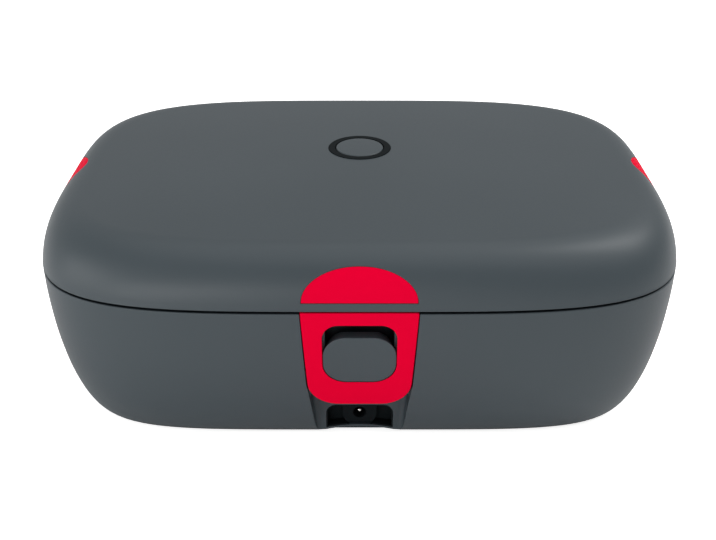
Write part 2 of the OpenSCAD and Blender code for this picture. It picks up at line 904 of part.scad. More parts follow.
module lid_shell() {
    color(grey) difference() {
        union() {
            difference() {
                intersection() {
                    lid_form(0);
                    union() {
                        difference() {
                            translate([-body_w, -body_d, 0])
                                cube([2 * body_w, 2 * body_d, 2 * top_z]);
                            lid_form(shell_t);
                        }
                        for (side = SIDES) {
                            lug_block(side);
                            drafted_block(side, cap_half(side, 1.5), 0, 0, -eps, -cap_back);
                        }
                    }
                }
                below(lid_bottom);
                for (side = SIDES) {
                    at_pin(side) cross_rod(2 * latch_sweep, latch_w + 1.6);
                    drafted_block(side, cap_half(side, set_gap), 0, 0, 1, -cap_t - set_gap);
                }
            }
            for (side = SIDES) latch_lugs(side);
            translate([0, vent_y, 0]) rod(vent_ring_d + 4, shell_t + 1, top_z - shell_t - 2);
        }
        for (side = SIDES) at_pin(side) cross_rod(latch_pin_d, body_w / 4);
        translate([0, vent_y, 0]) {
            rod(vent_ring_d + 2 * set_gap, over, top_z - ring_seat);
            rod(ring_hole + 2 * set_gap, 4 * over, top_z - 2 * over);
        }
    }
}

plug_deep = 4;
plug_gap = 1.5;
plug_w = dish_w - 2 * dish_t - 2 * plug_gap;
plug_d = dish_d - 2 * dish_t - 2 * plug_gap;
plug_corner = dish_corner - dish_t - plug_gap;
seal_w = 4.4;
seal_in = 2.2;
groove_deep = 1.8;
plug_floor = lid_bottom - plug_deep;
tower_top = top_z - 12;
valve_d = stem_d + 3.2;
lid_flange_t = liner_t + 0.4;
// Share of the lid shoulder's height at the top of the liner's flange
lid_flange_u = (lid_bottom + lid_flange_t - seam_z) / (shoulder_h - shell_t);

module lid_liner() {
    t = liner_t;
    color("#3C4346") difference() {
        union() {
            difference() {
                union() {
                    difference() {
                        flange(
                            lid_ring(lid_flange_u, shell_t + flange_gap),
                            lid_flange_t, lid_bottom
                        );
                        station_notches(flange_gap);
                    }
                    slab(
                        plug_w + 2 * (seal_in + seal_w + t), plug_d + 2 * (seal_in + seal_w + t),
                        groove_deep + t, plug_corner + seal_in + seal_w + t, lid_bottom
                    );
                    slab(plug_w, plug_d, plug_deep + t, plug_corner, plug_floor);
                }
                slab(plug_w - 2 * t, plug_d - 2 * t, 4 * over, plug_corner - t, plug_floor + t);
            }
            translate([0, vent_y, 0]) rod(12, tower_top - plug_floor, plug_floor);
        }
        difference() {
            slab(
                plug_w + 2 * (seal_in + seal_w) + 2 * set_gap,
                plug_d + 2 * (seal_in + seal_w) + 2 * set_gap,
                groove_deep + 1, plug_corner + seal_in + seal_w, lid_bottom - 1
            );
            slab(
                plug_w + 2 * seal_in, plug_d + 2 * seal_in,
                groove_deep + 3, plug_corner + seal_in, lid_bottom - 2
            );
        }
        translate([0, vent_y, 0]) {
            rod(stem_d + 2 * run_gap, 12 * over, plug_floor - 1);
            rod(valve_d, tower_top - plug_floor - 3 + 1, plug_floor - 1);
            translate([0, 0, tower_top - 6]) for (a = [0, 90]) rotate([0, 0, a])
                cross_rod(4, 14);
        }
    }
}

module lid_gasket() {
    z0 = rim_top;
    color("#8A9094") difference() {
        slab(
            plug_w + 2 * (seal_in + seal_w), plug_d + 2 * (seal_in + seal_w),
            lid_bottom + groove_deep - z0, plug_corner + seal_in + seal_w, z0
        );
        slab(
            plug_w + 2 * seal_in + 2 * set_gap, plug_d + 2 * seal_in + 2 * set_gap,
            over * 2, plug_corner + seal_in, z0 - 1
        );
    }
}

module latch_pins() {
    color("#B9BEC0") for (side = SIDES)
        at_pin(side) cross_rod(latch_pin_d, knuckle_w + 2 * lug_w + 2 * end_gap);
}

// ---- Vent ----

ring_proud = 0.3;
button_h = 4.4;
button_proud = 0.5;
button_top = top_z + button_proud;
// The sleeve's lower lip stops the button at the end of its travel
lip_t = 0.8;
lip_z = button_top - button_h - vent_travel - 0.3;
sleeve_foot = lip_z - lip_t;

module vent_ring() {
    color(black) translate([0, vent_y, 0]) difference() {
        union() {
            rod(vent_ring_d, ring_seat + ring_proud, top_z - ring_seat);
            rod(ring_hole, top_z - sleeve_foot, sleeve_foot);
        }
        rod(vent_button_d + 0.6, 4 * over, lip_z);
        rod(vent_button_d - 2, 4 * over, top_z - 2 * over);
    }
}

module vent_button() {
    color(grey) translate([0, vent_y, 0]) {
        difference() {
            rod(vent_button_d, button_h, button_top - button_h);
            rod(vent_button_d - 3.2, button_h - 1.4, button_top - button_h - 1);
        }
        rod(stem_d, button_top - 1.5 - (plug_floor - 2.8), plug_floor - 2.8);
        rod(stem_d + 5, 1, plug_floor - 2.8);
    }
}

spring_wire = 0.9;
spring_turns = 5;
spring_steps = 12;

// Coil spring between the guide tower and the button
module vent_spring() {
    r = stem_d / 2 + 1.9;
    z0 = tower_top + spring_wire / 2;
    z1 = button_top - 2.4 - spring_wire / 2;
    n = spring_turns * spring_steps;
    m = 6;
    color("#C7CACC") translate([0, vent_y, 0]) polyhedron(
        points = [
            for (i = [0 : n], k = [0 : m - 1])
                let (
                    a = 360 * i / spring_steps, b = 360 * k / m,
                    q = r + spring_wire / 2 * cos(b)
                )
                [q * cos(a), q * sin(a), mix(z0, z1, i / n) + spring_wire / 2 * sin(b)]
        ],
        faces = [
            [for (k = [0 : m - 1]) k],
            for (i = [0 : n - 1], k = [0 : m - 1])
                let (p = i * m + k, q = i * m + (k + 1) % m)
                each [[p, p + m, q + m], [p, q + m, q]],
            [for (k = [m - 1 : -1 : 0]) n * m + k]
        ]
    );
}

module vent_seal() {
    color("#8A9094") translate([0, vent_y, 0]) difference() {
        rod(valve_d + 5, 1.8, plug_floor - 1.8);
        rod(stem_d, 4, plug_floor - 3);
    }
}

base_shell();
base_liner();
inner_dish();
heating_plate();
heating_element();
element_clamp();
clamp_screws();
thermostat();
thermal_fuse();
insulation_pad();
power_jack();
jack_pin();
jack_bezel();
jack_leads();
base_screws();
feet();
lid_shell();
lid_liner();
lid_gasket();
cap(FRONT);  // front_cap
cap(RIGHT);  // right_cap
cap(BACK);  // back_cap
cap(LEFT);  // left_cap
latch(FRONT);  // front_latch
latch(RIGHT);  // right_latch
latch(BACK);  // back_latch
latch(LEFT);  // left_latch
latch_pins();
vent_ring();
vent_button();
vent_spring();
vent_seal();
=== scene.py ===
import math

import bmesh
import bpy
from mathutils import Matrix, Vector


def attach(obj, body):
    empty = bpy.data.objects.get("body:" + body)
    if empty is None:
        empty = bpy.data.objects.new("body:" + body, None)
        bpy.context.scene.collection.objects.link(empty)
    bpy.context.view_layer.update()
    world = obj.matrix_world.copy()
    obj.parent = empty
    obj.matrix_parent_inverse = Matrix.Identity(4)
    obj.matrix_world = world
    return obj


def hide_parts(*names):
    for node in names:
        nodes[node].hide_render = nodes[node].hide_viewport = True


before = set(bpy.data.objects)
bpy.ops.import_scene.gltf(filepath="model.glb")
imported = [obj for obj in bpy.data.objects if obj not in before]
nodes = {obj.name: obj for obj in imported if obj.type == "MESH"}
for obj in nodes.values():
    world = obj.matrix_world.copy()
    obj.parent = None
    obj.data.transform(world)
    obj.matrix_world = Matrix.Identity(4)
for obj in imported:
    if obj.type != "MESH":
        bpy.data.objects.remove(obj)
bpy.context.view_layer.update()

print("frame loaded:", len(nodes), "nodes")

# sizes are in millimetres, and a piece becomes metres when it is finished
boxForm = {
    "width": 270, "depth": 190, "seamHeight": 70.2, "lidHeight": 24, "footHeight": 1.2,
    "seamGap": 1.0, "wall": 2.4,
    "seamPower": 4.17, "bottomPower": 5.55, "topPower": 3.7,  # squareness of the outline at three heights
    "lean": 0.059, "bottomRound": 17.1, "bottomCurve": 1.99,
    "shoulder": 18, "shoulderCurve": 1.9, "shoulderBlend": 2.5, "crown": 1,
    "columns": 256, "baseRows": 34, "lidRows": 32, "rimRound": 0.45,
    "hollowReach": 6.3,  # how far the hollow of a shell runs past the seam
}
seamZ = boxForm["footHeight"] + boxForm["seamHeight"]
baseTop = seamZ - boxForm["seamGap"] / 2
lidBottom = seamZ + boxForm["seamGap"] / 2
shoulderHeight = boxForm["lidHeight"] - boxForm["crown"]
topZ = seamZ + boxForm["lidHeight"]
sideNames = ["front", "right", "back", "left"]


# a little above the front, looking down at the lid; place in metres, tilt in radians, shift in pixels
cameraPlan = {
    "sensor": 36, "lens": 52.2, "place": (0, -0.4343, 0.2766), "tilt": 0.502, "shift": -1.6, "imageWidth": 716,
}


def makeCamera():
    camera = bpy.data.cameras.new("camera")
    camera.sensor_width = cameraPlan["sensor"]
    camera.lens = cameraPlan["lens"]
    camera.shift_x = cameraPlan["shift"] / cameraPlan["imageWidth"]
    camera.clip_start, camera.clip_end = 0.01, 20
    holder = bpy.data.objects.new("camera", camera)
    holder.location = cameraPlan["place"]
    holder.rotation_euler = (math.pi / 2 - cameraPlan["tilt"], 0, 0)
    bpy.context.scene.collection.objects.link(holder)
    bpy.context.scene.camera = holder


makeCamera()


def mixTo(a, b, t):
    return a + (b - a) * t


def spreadCurve(width, first, last, t):
    # how far an edge rounding has come in at the share t of its height
    return width * (1 - max(1 - t ** first, 0) ** (1 / last))


def baseInset(s):
    # inset of the lower wall at the share s of the way down
    curve = boxForm["bottomCurve"]
    return boxForm["lean"] * boxForm["seamHeight"] * s + spreadCurve(boxForm["bottomRound"], curve, curve, s)


def lidInset(u):
    # inset of the lid's shoulder at the share u of the way up
    return spreadCurve(boxForm["shoulder"], boxForm["shoulderCurve"], boxForm["shoulderBlend"], u)


def halfSpan(side):
    return (boxForm["depth"] if side % 2 == 0 else boxForm["width"]) / 2


def wallDistance(side, x, z):
    # distance of the outer skin from the middle of the box, on a side, at x along it and z up
    s = min(max((seamZ - z) / boxForm["seamHeight"], 0), 1)
    u = min(max((z - seamZ) / shoulderHeight, 0), 1)
    inset = baseInset(s) + lidInset(u)
    power = mixTo(boxForm["seamPower"], boxForm["bottomPower"] if s > 0 else boxForm["topPower"], max(s, u))
    reach = max(1 - (abs(x) / (halfSpan(side + 1) - inset)) ** power, 0)
    return (halfSpan(side) - inset) * reach ** (1 / power)


def loftRings(place, rings, columns, closed=False):
    # solid through a row of rings; place gives the point k of a ring from what the ring holds
    bm = bmesh.new()
    turn = bm.verts.layers.int.new("turn")
    bmesh.ops.create_circle(bm, segments=columns, radius=1, cap_ends=False)
    for k, v in enumerate(bm.verts):
        v[turn] = k
        v.co = place(k, *rings[0])
    first = edges = bm.edges[:]
    if not closed:
        bmesh.ops.contextual_create(bm, geom=first)
    for ring in rings[1:]:
        grown = bmesh.ops.extrude_edge_only(bm, edges=edges)["geom"]
        verts = {g for g in grown if isinstance(g, bmesh.types.BMVert)}
        for v in verts:
            v.co = place(v[turn], *ring)
        edges = [g for g in grown if isinstance(g, bmesh.types.BMEdge) and set(g.verts) <= verts]
    if closed:
        bmesh.ops.bridge_loops(bm, edges=first + edges)
    else:
        bmesh.ops.contextual_create(bm, geom=edges)
    bm.verts.layers.int.remove(turn)
    bmesh.ops.recalc_face_normals(bm, faces=bm.faces[:])
    return bm


def softPoint(k, halfX, halfY, power, z):
    # point on a soft rectangle
    a = 2 * math.pi * k / boxForm["columns"]
    r = (abs(math.cos(a) / halfX) ** power + abs(math.sin(a) / halfY) ** power) ** (-1 / power)
    return Vector((r * math.cos(a), r * math.sin(a), z))


# points on a corner's arc and on the straight after it
cornerSteps, edgeSteps = 14, 12
plateColumns = 4 * (cornerSteps + edgeSteps)


def cornerPoint(corner, a, plan, grow):
    # point at the angle a on the arc of one corner of a plate's outline
    right, top = corner in (0, 3), corner < 2
    radius = plan["highCorner" if top else "lowCorner"] + grow
    half = plan["highWidth" if top else "lowWidth"] / 2 + grow - radius
    level = plan["high"] + grow - radius if top else plan["low"] - grow + radius
    return Vector(((half if right else -half) + radius * math.cos(a), level + radius * math.sin(a)))


def outlinePoint(k, plan, grow=0):
    # point k on a plate's outline, in X and Z: first along a corner's arc, then along the straight after it
    corner, j = divmod(k, cornerSteps + edgeSteps)
    a = (corner + min(j / (cornerSteps - 1), 1)) * math.pi / 2
    point = cornerPoint(corner, a, plan, grow)
    if j >= cornerSteps:
        after = cornerPoint((corner + 1) % 4, a, plan, grow)
        point = point.lerp(after, (j - cornerSteps + 1) / (edgeSteps + 1))
    return point


def draftPoint(point, plan, depth):
    # moves an outline's point by the draft that it has at a depth
    share = min(2 * (plan["high"] - point.y) / (plan["high"] - plan["low"]), 1)
    side = plan.get("sideDraft", 0) * depth
    return Vector((point.x + (math.copysign(side, point.x) if abs(point.x) > 0.01 else 0),
        point.y - plan.get("footDraft", 0) * depth * share))


def platePoint(k, plan, grow, depth, other=None, otherGrow=0, share=0):
    # point of a plate: on its outline, or the share of the way to another outline
    point = draftPoint(outlinePoint(k, plan, grow), plan, depth)
    if other:
        point = point.lerp(draftPoint(outlinePoint(k, other, otherGrow), other, depth), share)
    return Vector((point.x, depth, point.y))


def roundRows(plan, radius, outer=True):
    # rows that take a plate's edge round into its front face
    steps = [math.pi / 2 * k / 4 for k in range(5)]
    rows = [(plan, (-1 if outer else 1) * radius * (1 - math.cos(a)), radius * (1 - math.sin(a))) for a in steps]
    return rows if outer else rows[::-1]


def slabPoint(k, width, depth, radius, z):
    # point on a rectangle with round corners, lying flat
    plan = {"low": -depth / 2, "high": depth / 2, "lowWidth": width, "highWidth": width, "lowCorner": radius,
        "highCorner": radius}
    point = outlinePoint(k, plan)
    return Vector((point.x, point.y, z))


def addMesh(bm, name):
    mesh = bpy.data.meshes.new(name)
    bm.to_mesh(mesh)
    bm.free()
    piece = bpy.data.objects.new(name, mesh)
    bpy.context.scene.collection.objects.link(piece)
    return piece


def joinMeshes(parts):
    # one bmesh out of several
    whole = bmesh.new()
    for part in parts:
        mesh = bpy.data.meshes.new("part")
        part.to_mesh(mesh)
        part.free()
        whole.from_mesh(mesh)
        bpy.data.meshes.remove(mesh)
    return whole


def carve(bm, tools, how="DIFFERENCE"):
    # exact boolean of bm with all the tools at once, which may overlap
    piece = addMesh(bm, "work")
    cutter = addMesh(joinMeshes(tools), "tool")
    step = piece.modifiers.new("cut", "BOOLEAN")
    step.operation, step.solver, step.object = how, "EXACT", cutter
    step.use_self = len(tools) > 1
    graph = bpy.context.evaluated_depsgraph_get()
    made = bpy.data.meshes.new_from_object(piece.evaluated_get(graph))
    piece.modifiers.clear()
    result = bmesh.new()
    result.from_mesh(made)
    for used in (piece, cutter):
        bpy.data.objects.remove(used)
    bmesh.ops.remove_doubles(result, verts=result.verts[:], dist=0.001)
    bmesh.ops.dissolve_degenerate(result, dist=0.0005, edges=result.edges[:])
    return result


def roundEdges(bm, radius, chosen, limit=35):
    # rounds the corners steeper than limit degrees that chosen lets through
    edges = [e for e in bm.edges if len(e.link_faces) == 2 and e.calc_face_angle(0) > math.radians(limit)
        and chosen(e)]
    bmesh.ops.bevel(bm, geom=edges, offset=radius, offset_type="OFFSET", affect="EDGES", segments=4, profile=0.5,
        material=-1)


def turnToSide(bm, side):
    bmesh.ops.rotate(bm, cent=(0, 0, 0), matrix=Matrix.Rotation(math.radians(90 * side), 3, "Z"), verts=bm.verts[:])
    return bm


def bendToWall(bm, side):
    # lays flat work on the outer skin of a side, its depth inwards
    for v in bm.verts:
        v.co.y -= wallDistance(side, v.co.x, v.co.z)
    return turnToSide(bm, side)


def roundRod(diameter, length, centre, axis="Z", steps=40):
    bm = bmesh.new()
    bmesh.ops.create_cone(bm, cap_ends=True, segments=steps, radius1=diameter / 2, radius2=diameter / 2, depth=length)
    if axis != "Z":
        turn = Matrix.Rotation(math.radians(90), 3, "Y" if axis == "X" else "X")
        bmesh.ops.rotate(bm, cent=(0, 0, 0), matrix=turn, verts=bm.verts[:])
    bmesh.ops.translate(bm, vec=centre, verts=bm.verts[:])
    return bm


def plainBlock(low, high):
    bm = bmesh.new()
    bmesh.ops.create_cube(bm, size=1)
    for v in bm.verts:
        v.co = [high[i] if v.co[i] > 0 else low[i] for i in range(3)]
    return bm


def turnedPiece(outline, centre, steps=96):
    # solid of revolution about a vertical line: the outline is (radius, height) points, closed
    bm = bmesh.new()
    verts = [bm.verts.new((r, 0, z)) for r, z in outline]
    for a, b in zip(verts, verts[1:] + verts[:1]):
        if a.co.x > 0 or b.co.x > 0:
            bm.edges.new((a, b))
    bmesh.ops.spin(bm, geom=bm.verts[:] + bm.edges[:], cent=(0, 0, 0), axis=(0, 0, 1), dvec=(0, 0, 0),
        angle=2 * math.pi, steps=steps, use_merge=True, use_duplicate=False)
    bmesh.ops.remove_doubles(bm, verts=bm.verts[:], dist=0.0005)
    bmesh.ops.recalc_face_normals(bm, faces=bm.faces[:])
    bmesh.ops.translate(bm, vec=centre, verts=bm.verts[:])
    return bm


def filletPoints(x, z, radius, start, end, steps=5):
    # points on the arc of a fillet about (x, z), between two angles in degrees
    angles = [math.radians(mixTo(start, end, k / steps)) for k in range(steps + 1)]
    return [(x + radius * math.cos(a), z + radius * math.sin(a)) for a in angles]


def finishPiece(bm, name, body, replaced, material, sharp=32):
    bmesh.ops.remove_doubles(bm, verts=bm.verts[:], dist=0.0004)
    bmesh.ops.scale(bm, vec=(0.001, 0.001, 0.001), verts=bm.verts[:])
    for face in bm.faces:
        face.smooth = True
    piece = addMesh(bm, name)
    piece.data.set_sharp_from_angle(angle=math.radians(sharp))
    piece.data.materials.clear()
    piece.data.materials.append(material)
    even = piece.modifiers.new("even normals", "WEIGHTED_NORMAL")
    even.keep_sharp = True
    even.weight = 60
    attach(piece, body)
    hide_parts(*replaced)
    return piece


def linearFromHex(text):
    # an sRGB hex colour as the linear values that a shader wants
    parts = [int(text[i:i + 2], 16) / 255 for i in (1, 3, 5)]
    return tuple(c / 12.92 if c <= 0.04045 else ((c + 0.055) / 1.055) ** 2.4 for c in parts) + (1,)


def addNode(tree, kind, settings=None, links=None):
    # adds a node, sets its options and sockets, and links {socket: (node, its output)}
    node = tree.nodes.new(kind)
    for key, value in (settings or {}).items():
        if isinstance(key, str) and hasattr(node, key) and key not in node.inputs:
            setattr(node, key, value)
        else:
            node.inputs[key].default_value = value
    for key, (source, output) in (links or {}).items():
        tree.links.new(source.outputs[output], node.inputs[key])
    return node


def startMaterial(name, settings):
    material = bpy.data.materials.new(name)
    material.use_nodes = True
    tree = material.node_tree
    tree.nodes.clear()
    shader = addNode(tree, "ShaderNodeBsdfPrincipled", settings)
    addNode(tree, "ShaderNodeOutputMaterial", None, {"Surface": (shader, "BSDF")})
    return material, tree, shader


def softEdge(tree, radiusMm):
    # normal of the surface as if its edges were rounded, and how much each spot is turned by that
    rounded = addNode(tree, "ShaderNodeBevel", {"samples": 6, "Radius": radiusMm / 1000})
    flat = addNode(tree, "ShaderNodeNewGeometry")
    turned = addNode(tree, "ShaderNodeVectorMath", {"operation": "DOT_PRODUCT"},
        {0: (rounded, "Normal"), 1: (flat, "Normal")})
    return rounded, turned


def patternSpace(tree, lengths):
    # Object coordinates scaled so that one step of a pattern is as long as given along X, Y and Z, in mm
    place = addNode(tree, "ShaderNodeTexCoord")
    return addNode(tree, "ShaderNodeMapping", {"Scale": tuple(1000 / v for v in lengths)},
        {"Vector": (place, "Object")})


def mouldedPlastic(name, look):
    # injection moulded: grain of the spark-eroded tool, a slow drift of tone, edges rubbed a little lighter, and
    # painted shade in gaps and deep corners
    material, tree, shader = startMaterial(name, {"IOR": look["ior"], "Specular IOR Level": look["specular"]})
    drift = addNode(tree, "ShaderNodeTexNoise", {"Scale": 1.0, "Detail": 2.0},
        {"Vector": (patternSpace(tree, (look["driftMm"],) * 3), "Vector")})
    grain = addNode(tree, "ShaderNodeTexNoise", {"Scale": 1.0, "Detail": 3.0, "Roughness": 0.6},
        {"Vector": (patternSpace(tree, (look["grainMm"],) * 3), "Vector")})
    tone = addNode(tree, "ShaderNodeMix",
        {"data_type": "RGBA", 6: linearFromHex(look["dark"]), 7: linearFromHex(look["light"])}, {0: (drift, "Fac")})
    rounded, turned = softEdge(tree, look["edgeMm"])
    rub = addNode(tree, "ShaderNodeMapRange",
        {"From Min": 0.99, "From Max": 0.75, "To Min": 0.0, "To Max": look["wear"]}, {"Value": (turned, "Value")})
    worn = addNode(tree, "ShaderNodeMix", {"data_type": "RGBA", 7: linearFromHex(look["rubbed"])},
        {0: (rub, "Result"), 6: (tone, 2)})
    # painted shade: colour is darkened in gaps and deep corners by an ambient-occlusion mask, standing in for the
    # shade that falls there
    reach = addNode(tree, "ShaderNodeAmbientOcclusion", {"samples": 6, "Distance": look["paintedNookShadeMm"] / 1000})
    paintedNookShade = addNode(tree, "ShaderNodeMapRange",
        {"From Min": 0.1, "From Max": 0.6, "To Min": look["paintedNookShade"], "To Max": 0.0}, {"Value": (reach, "AO")})
    nookShadedTone = addNode(tree, "ShaderNodeMix", {"data_type": "RGBA", 7: (0, 0, 0, 1)}, {0: (paintedNookShade, "Result"), 6: (worn, 2)})
    rough = addNode(tree, "ShaderNodeMapRange", {"To Min": look["rough"] - 0.04, "To Max": look["rough"] + 0.04},
        {"Value": (grain, "Fac")})
    bump = addNode(tree, "ShaderNodeBump", {"Strength": look["bump"], "Distance": look["grainMm"] / 4000},
        {"Height": (grain, "Fac"), "Normal": (rounded, "Normal")})
    tree.links.new(nookShadedTone.outputs[2], shader.inputs["Base Color"])
    tree.links.new(rough.outputs["Result"], shader.inputs["Roughness"])
    tree.links.new(bump.outputs["Normal"], shader.inputs["Normal"])
    return material


def workedMetal(name, look):
    # metal with the marks of how it was worked: lines of a brush or drawing die, or the skin of a casting
    material, tree, shader = startMaterial(name, {"Metallic": 1.0})
    marks = addNode(tree, "ShaderNodeTexNoise", {"Scale": 1.0, "Detail": 4.0, "Roughness": 0.55},
        {"Vector": (patternSpace(tree, look["marksMm"]), "Vector")})
    stains = addNode(tree, "ShaderNodeTexNoise", {"Scale": 1.0, "Detail": 2.0},
        {"Vector": (patternSpace(tree, (look["stainMm"],) * 3), "Vector")})
    tone = addNode(tree, "ShaderNodeMix",
        {"data_type": "RGBA", 6: linearFromHex(look["dark"]), 7: linearFromHex(look["light"])}, {0: (stains, "Fac")})
    rounded, turned = softEdge(tree, look["edgeMm"])
    rough = addNode(tree, "ShaderNodeMapRange",
        {"To Min": look["rough"] - look["roughSpread"], "To Max": look["rough"] + look["roughSpread"]},
        {"Value": (marks, "Fac")})
    bump = addNode(tree, "ShaderNodeBump", {"Strength": look["bump"], "Distance": 0.00005},
        {"Height": (marks, "Fac"), "Normal": (rounded, "Normal")})
    tree.links.new(tone.outputs[2], shader.inputs["Base Color"])
    tree.links.new(rough.outputs["Result"], shader.inputs["Roughness"])
    tree.links.new(bump.outputs["Normal"], shader.inputs["Normal"])
    return material


def matStuff(name, look):
    # rubber, felt, ceramic and mica: broken tone from cells or fibres, and hardly any gloss
    material, tree, shader = startMaterial(name,
        {"IOR": look["ior"], "Specular IOR Level": look["specular"], "Roughness": look["rough"],
        "Sheen Weight": look.get("sheen", 0.0)})
    space = patternSpace(tree, look["cellMm"])
    if look["cells"]:
        cells = addNode(tree, "ShaderNodeTexVoronoi", {"Scale": 1.0, "Randomness": 1.0},
            {"Vector": (space, "Vector")})
        field = (cells, "Distance")
    else:
        cells = addNode(tree, "ShaderNodeTexNoise",
            {"Scale": 1.0, "Detail": 4.0, "Roughness": 0.65, "Distortion": look.get("tangle", 0.0)},
            {"Vector": (space, "Vector")})
        field = (cells, "Fac")
    tone = addNode(tree, "ShaderNodeMix",
        {"data_type": "RGBA", 6: linearFromHex(look["dark"]), 7: linearFromHex(look["light"])}, {0: field})
    rounded, turned = softEdge(tree, look["edgeMm"])
    bump = addNode(tree, "ShaderNodeBump", {"Strength": look["bump"], "Distance": min(look["cellMm"]) / 3000},
        {"Height": field, "Normal": (rounded, "Normal")})
    tree.links.new(tone.outputs[2], shader.inputs["Base Color"])
    tree.links.new(bump.outputs["Normal"], shader.inputs["Normal"])
    return material


# each look below also sets how dark and how far the painted shade in gaps and deep corners reaches
# ABS moulded in a spark-eroded tool: a dark neutral grey with a soft broad sheen
greyAbs = mouldedPlastic("grey ABS, spark-eroded", {
    "dark": "#333C41", "light": "#384146", "rubbed": "#4E5A61", "wear": 0.3, "rough": 0.42, "ior": 1.5,
    "specular": 0.4, "driftMm": 70, "grainMm": 0.9, "bump": 0.1, "edgeMm": 0.35, "paintedNookShade": 0.85, "paintedNookShadeMm": 9,
})
# ABS moulded in a blasted tool: clean saturated red, nearly without gloss
redAbs = mouldedPlastic("red ABS, fine satin", {
    "dark": "#D8002C", "light": "#DC0030", "rubbed": "#E20A3C", "wear": 0.2, "rough": 0.46, "ior": 1.5,
    "specular": 0.01, "driftMm": 50, "grainMm": 0.7, "bump": 0.05, "edgeMm": 0.3, "paintedNookShade": 0.2, "paintedNookShadeMm": 4,
})
# polypropylene of the inner liners: darker and waxier than the shells
darkPp = mouldedPlastic("dark PP, satin", {
    "dark": "#2E3438", "light": "#33393D", "rubbed": "#464F54", "wear": 0.3, "rough": 0.36, "ior": 1.49,
    "specular": 0.5, "driftMm": 60, "grainMm": 0.8, "bump": 0.08, "edgeMm": 0.5, "paintedNookShade": 0.3, "paintedNookShadeMm": 6,
})
# black polyamide of the inlet, its bezel and the vent ring: dull and very dark
blackNylon = mouldedPlastic("black PA, satin", {
    "dark": "#101517", "light": "#15191B", "rubbed": "#1C2225", "wear": 0.2, "rough": 0.55, "ior": 1.53,
    "specular": 0.03, "driftMm": 20, "grainMm": 0.5, "bump": 0.06, "edgeMm": 0.2, "paintedNookShade": 0.25, "paintedNookShadeMm": 4,
})
# deep drawn 18/8 stainless sheet, satin polished along its length: long fine lines, soft bright sheen
drawnSteel = workedMetal("stainless steel, satin drawn", {
    "dark": "#BFC2C2", "light": "#CED0CF", "marksMm": (30, 0.5, 0.5), "stainMm": 60, "rough": 0.28,
    "roughSpread": 0.09, "bump": 0.25, "edgeMm": 0.25,
})
# die cast aluminium, milled on top: a pale dull grey skin with a fine pitted grain
castAluminium = workedMetal("aluminium, die cast", {
    "dark": "#A9ACAD", "light": "#BBBEBF", "marksMm": (0.8, 0.8, 0.8), "stainMm": 25, "rough": 0.46,
    "roughSpread": 0.08, "bump": 0.35, "edgeMm": 0.4,
})
# steel with bright nickel plating: clear, slightly warm, tight highlights
brightNickel = workedMetal("nickel plated steel, bright", {
    "dark": "#D6D3CD", "light": "#E2DFDA", "marksMm": (0.6, 0.6, 0.6), "stainMm": 12, "rough": 0.2,
    "roughSpread": 0.05, "bump": 0.1, "edgeMm": 0.15,
})
# steel with zinc plating: a cooler and cloudier grey than nickel
zincSteel = workedMetal("zinc plated steel, passivated", {
    "dark": "#A6ABAF", "light": "#C1C4C2", "marksMm": (1.5, 1.5, 1.5), "stainMm": 5, "rough": 0.34,
    "roughSpread": 0.08, "bump": 0.15, "edgeMm": 0.15,
})
# moulded silicone: matt, faintly cloudy grey, edges always soft
greySilicone = matStuff("grey silicone, moulded", {
    "dark": "#80878B", "light": "#8C9397", "ior": 1.41, "specular": 0.4, "rough": 0.55, "cells": False,
    "cellMm": (2.5, 2.5, 2.5), "bump": 0.06, "edgeMm": 0.5,
})
# nitrile rubber of the feet: near black and dull, with the pimples of its mould
footRubber = matStuff("black rubber, moulded", {
    "dark": "#131415", "light": "#1C1D1E", "ior": 1.52, "specular": 0.4, "rough": 0.75, "cells": False,
    "cellMm": (0.6, 0.6, 0.6), "bump": 0.25, "edgeMm": 0.4,
})
# needled ceramic fibre: off-white tangle of short fibres, no gloss at all
fibreFelt = matStuff("ceramic fibre felt, needled", {
    "dark": "#C9C4B6", "light": "#EDEAE0", "ior": 1.5, "specular": 0.1, "rough": 0.95, "sheen": 0.3,
    "cells": False, "cellMm": (1.2, 4, 1.2), "tangle": 1.5, "bump": 0.8, "edgeMm": 0.8,
})
# pressed mica sheet: overlapping beige flakes a few millimetres wide, faint glints
micaSheet = matStuff("mica sheet, pressed", {
    "dark": "#8F887A", "light": "#B5AD9B", "ior": 1.58, "specular": 0.6, "rough": 0.45, "cells": True,
    "cellMm": (3, 3, 3), "bump": 0.2, "edgeMm": 0.1,
})
# glazed steatite of the fuse body: creamy and close-grained
fuseCeramic = matStuff("steatite, glazed", {
    "dark": "#D3CBB8", "light": "#DDD6C5", "ior": 1.55, "specular": 0.5, "rough": 0.3, "cells": False,
    "cellMm": (1.5, 1.5, 1.5), "bump": 0.05, "edgeMm": 0.3,
})


def phenolicAndBrass():
    # phenolic case of the thermostat, black and faintly glossy, and the stamped brass tab at its right end
    material, tree, shader = startMaterial("phenolic resin with brass tab", {"Roughness": 0.4})
    place = addNode(tree, "ShaderNodeTexCoord")
    split = addNode(tree, "ShaderNodeSeparateXYZ", None, {"Vector": (place, "Object")})
    tab = addNode(tree, "ShaderNodeMath", {"operation": "GREATER_THAN", 1: -0.01998}, {0: (split, "X")})
    specks = addNode(tree, "ShaderNodeTexNoise", {"Scale": 1.0, "Detail": 3.0},
        {"Vector": (patternSpace(tree, (0.8, 0.8, 0.8)), "Vector")})
    resin = addNode(tree, "ShaderNodeMix",
        {"data_type": "RGBA", 6: linearFromHex("#1F1C1A"), 7: linearFromHex("#2B2724")}, {0: (specks, "Fac")})
    tone = addNode(tree, "ShaderNodeMix", {"data_type": "RGBA", 7: linearFromHex("#C9A35B")},
        {0: (tab, "Value"), 6: (resin, 2)})
    tree.links.new(tone.outputs[2], shader.inputs["Base Color"])
    tree.links.new(tab.outputs["Value"], shader.inputs["Metallic"])
    return material


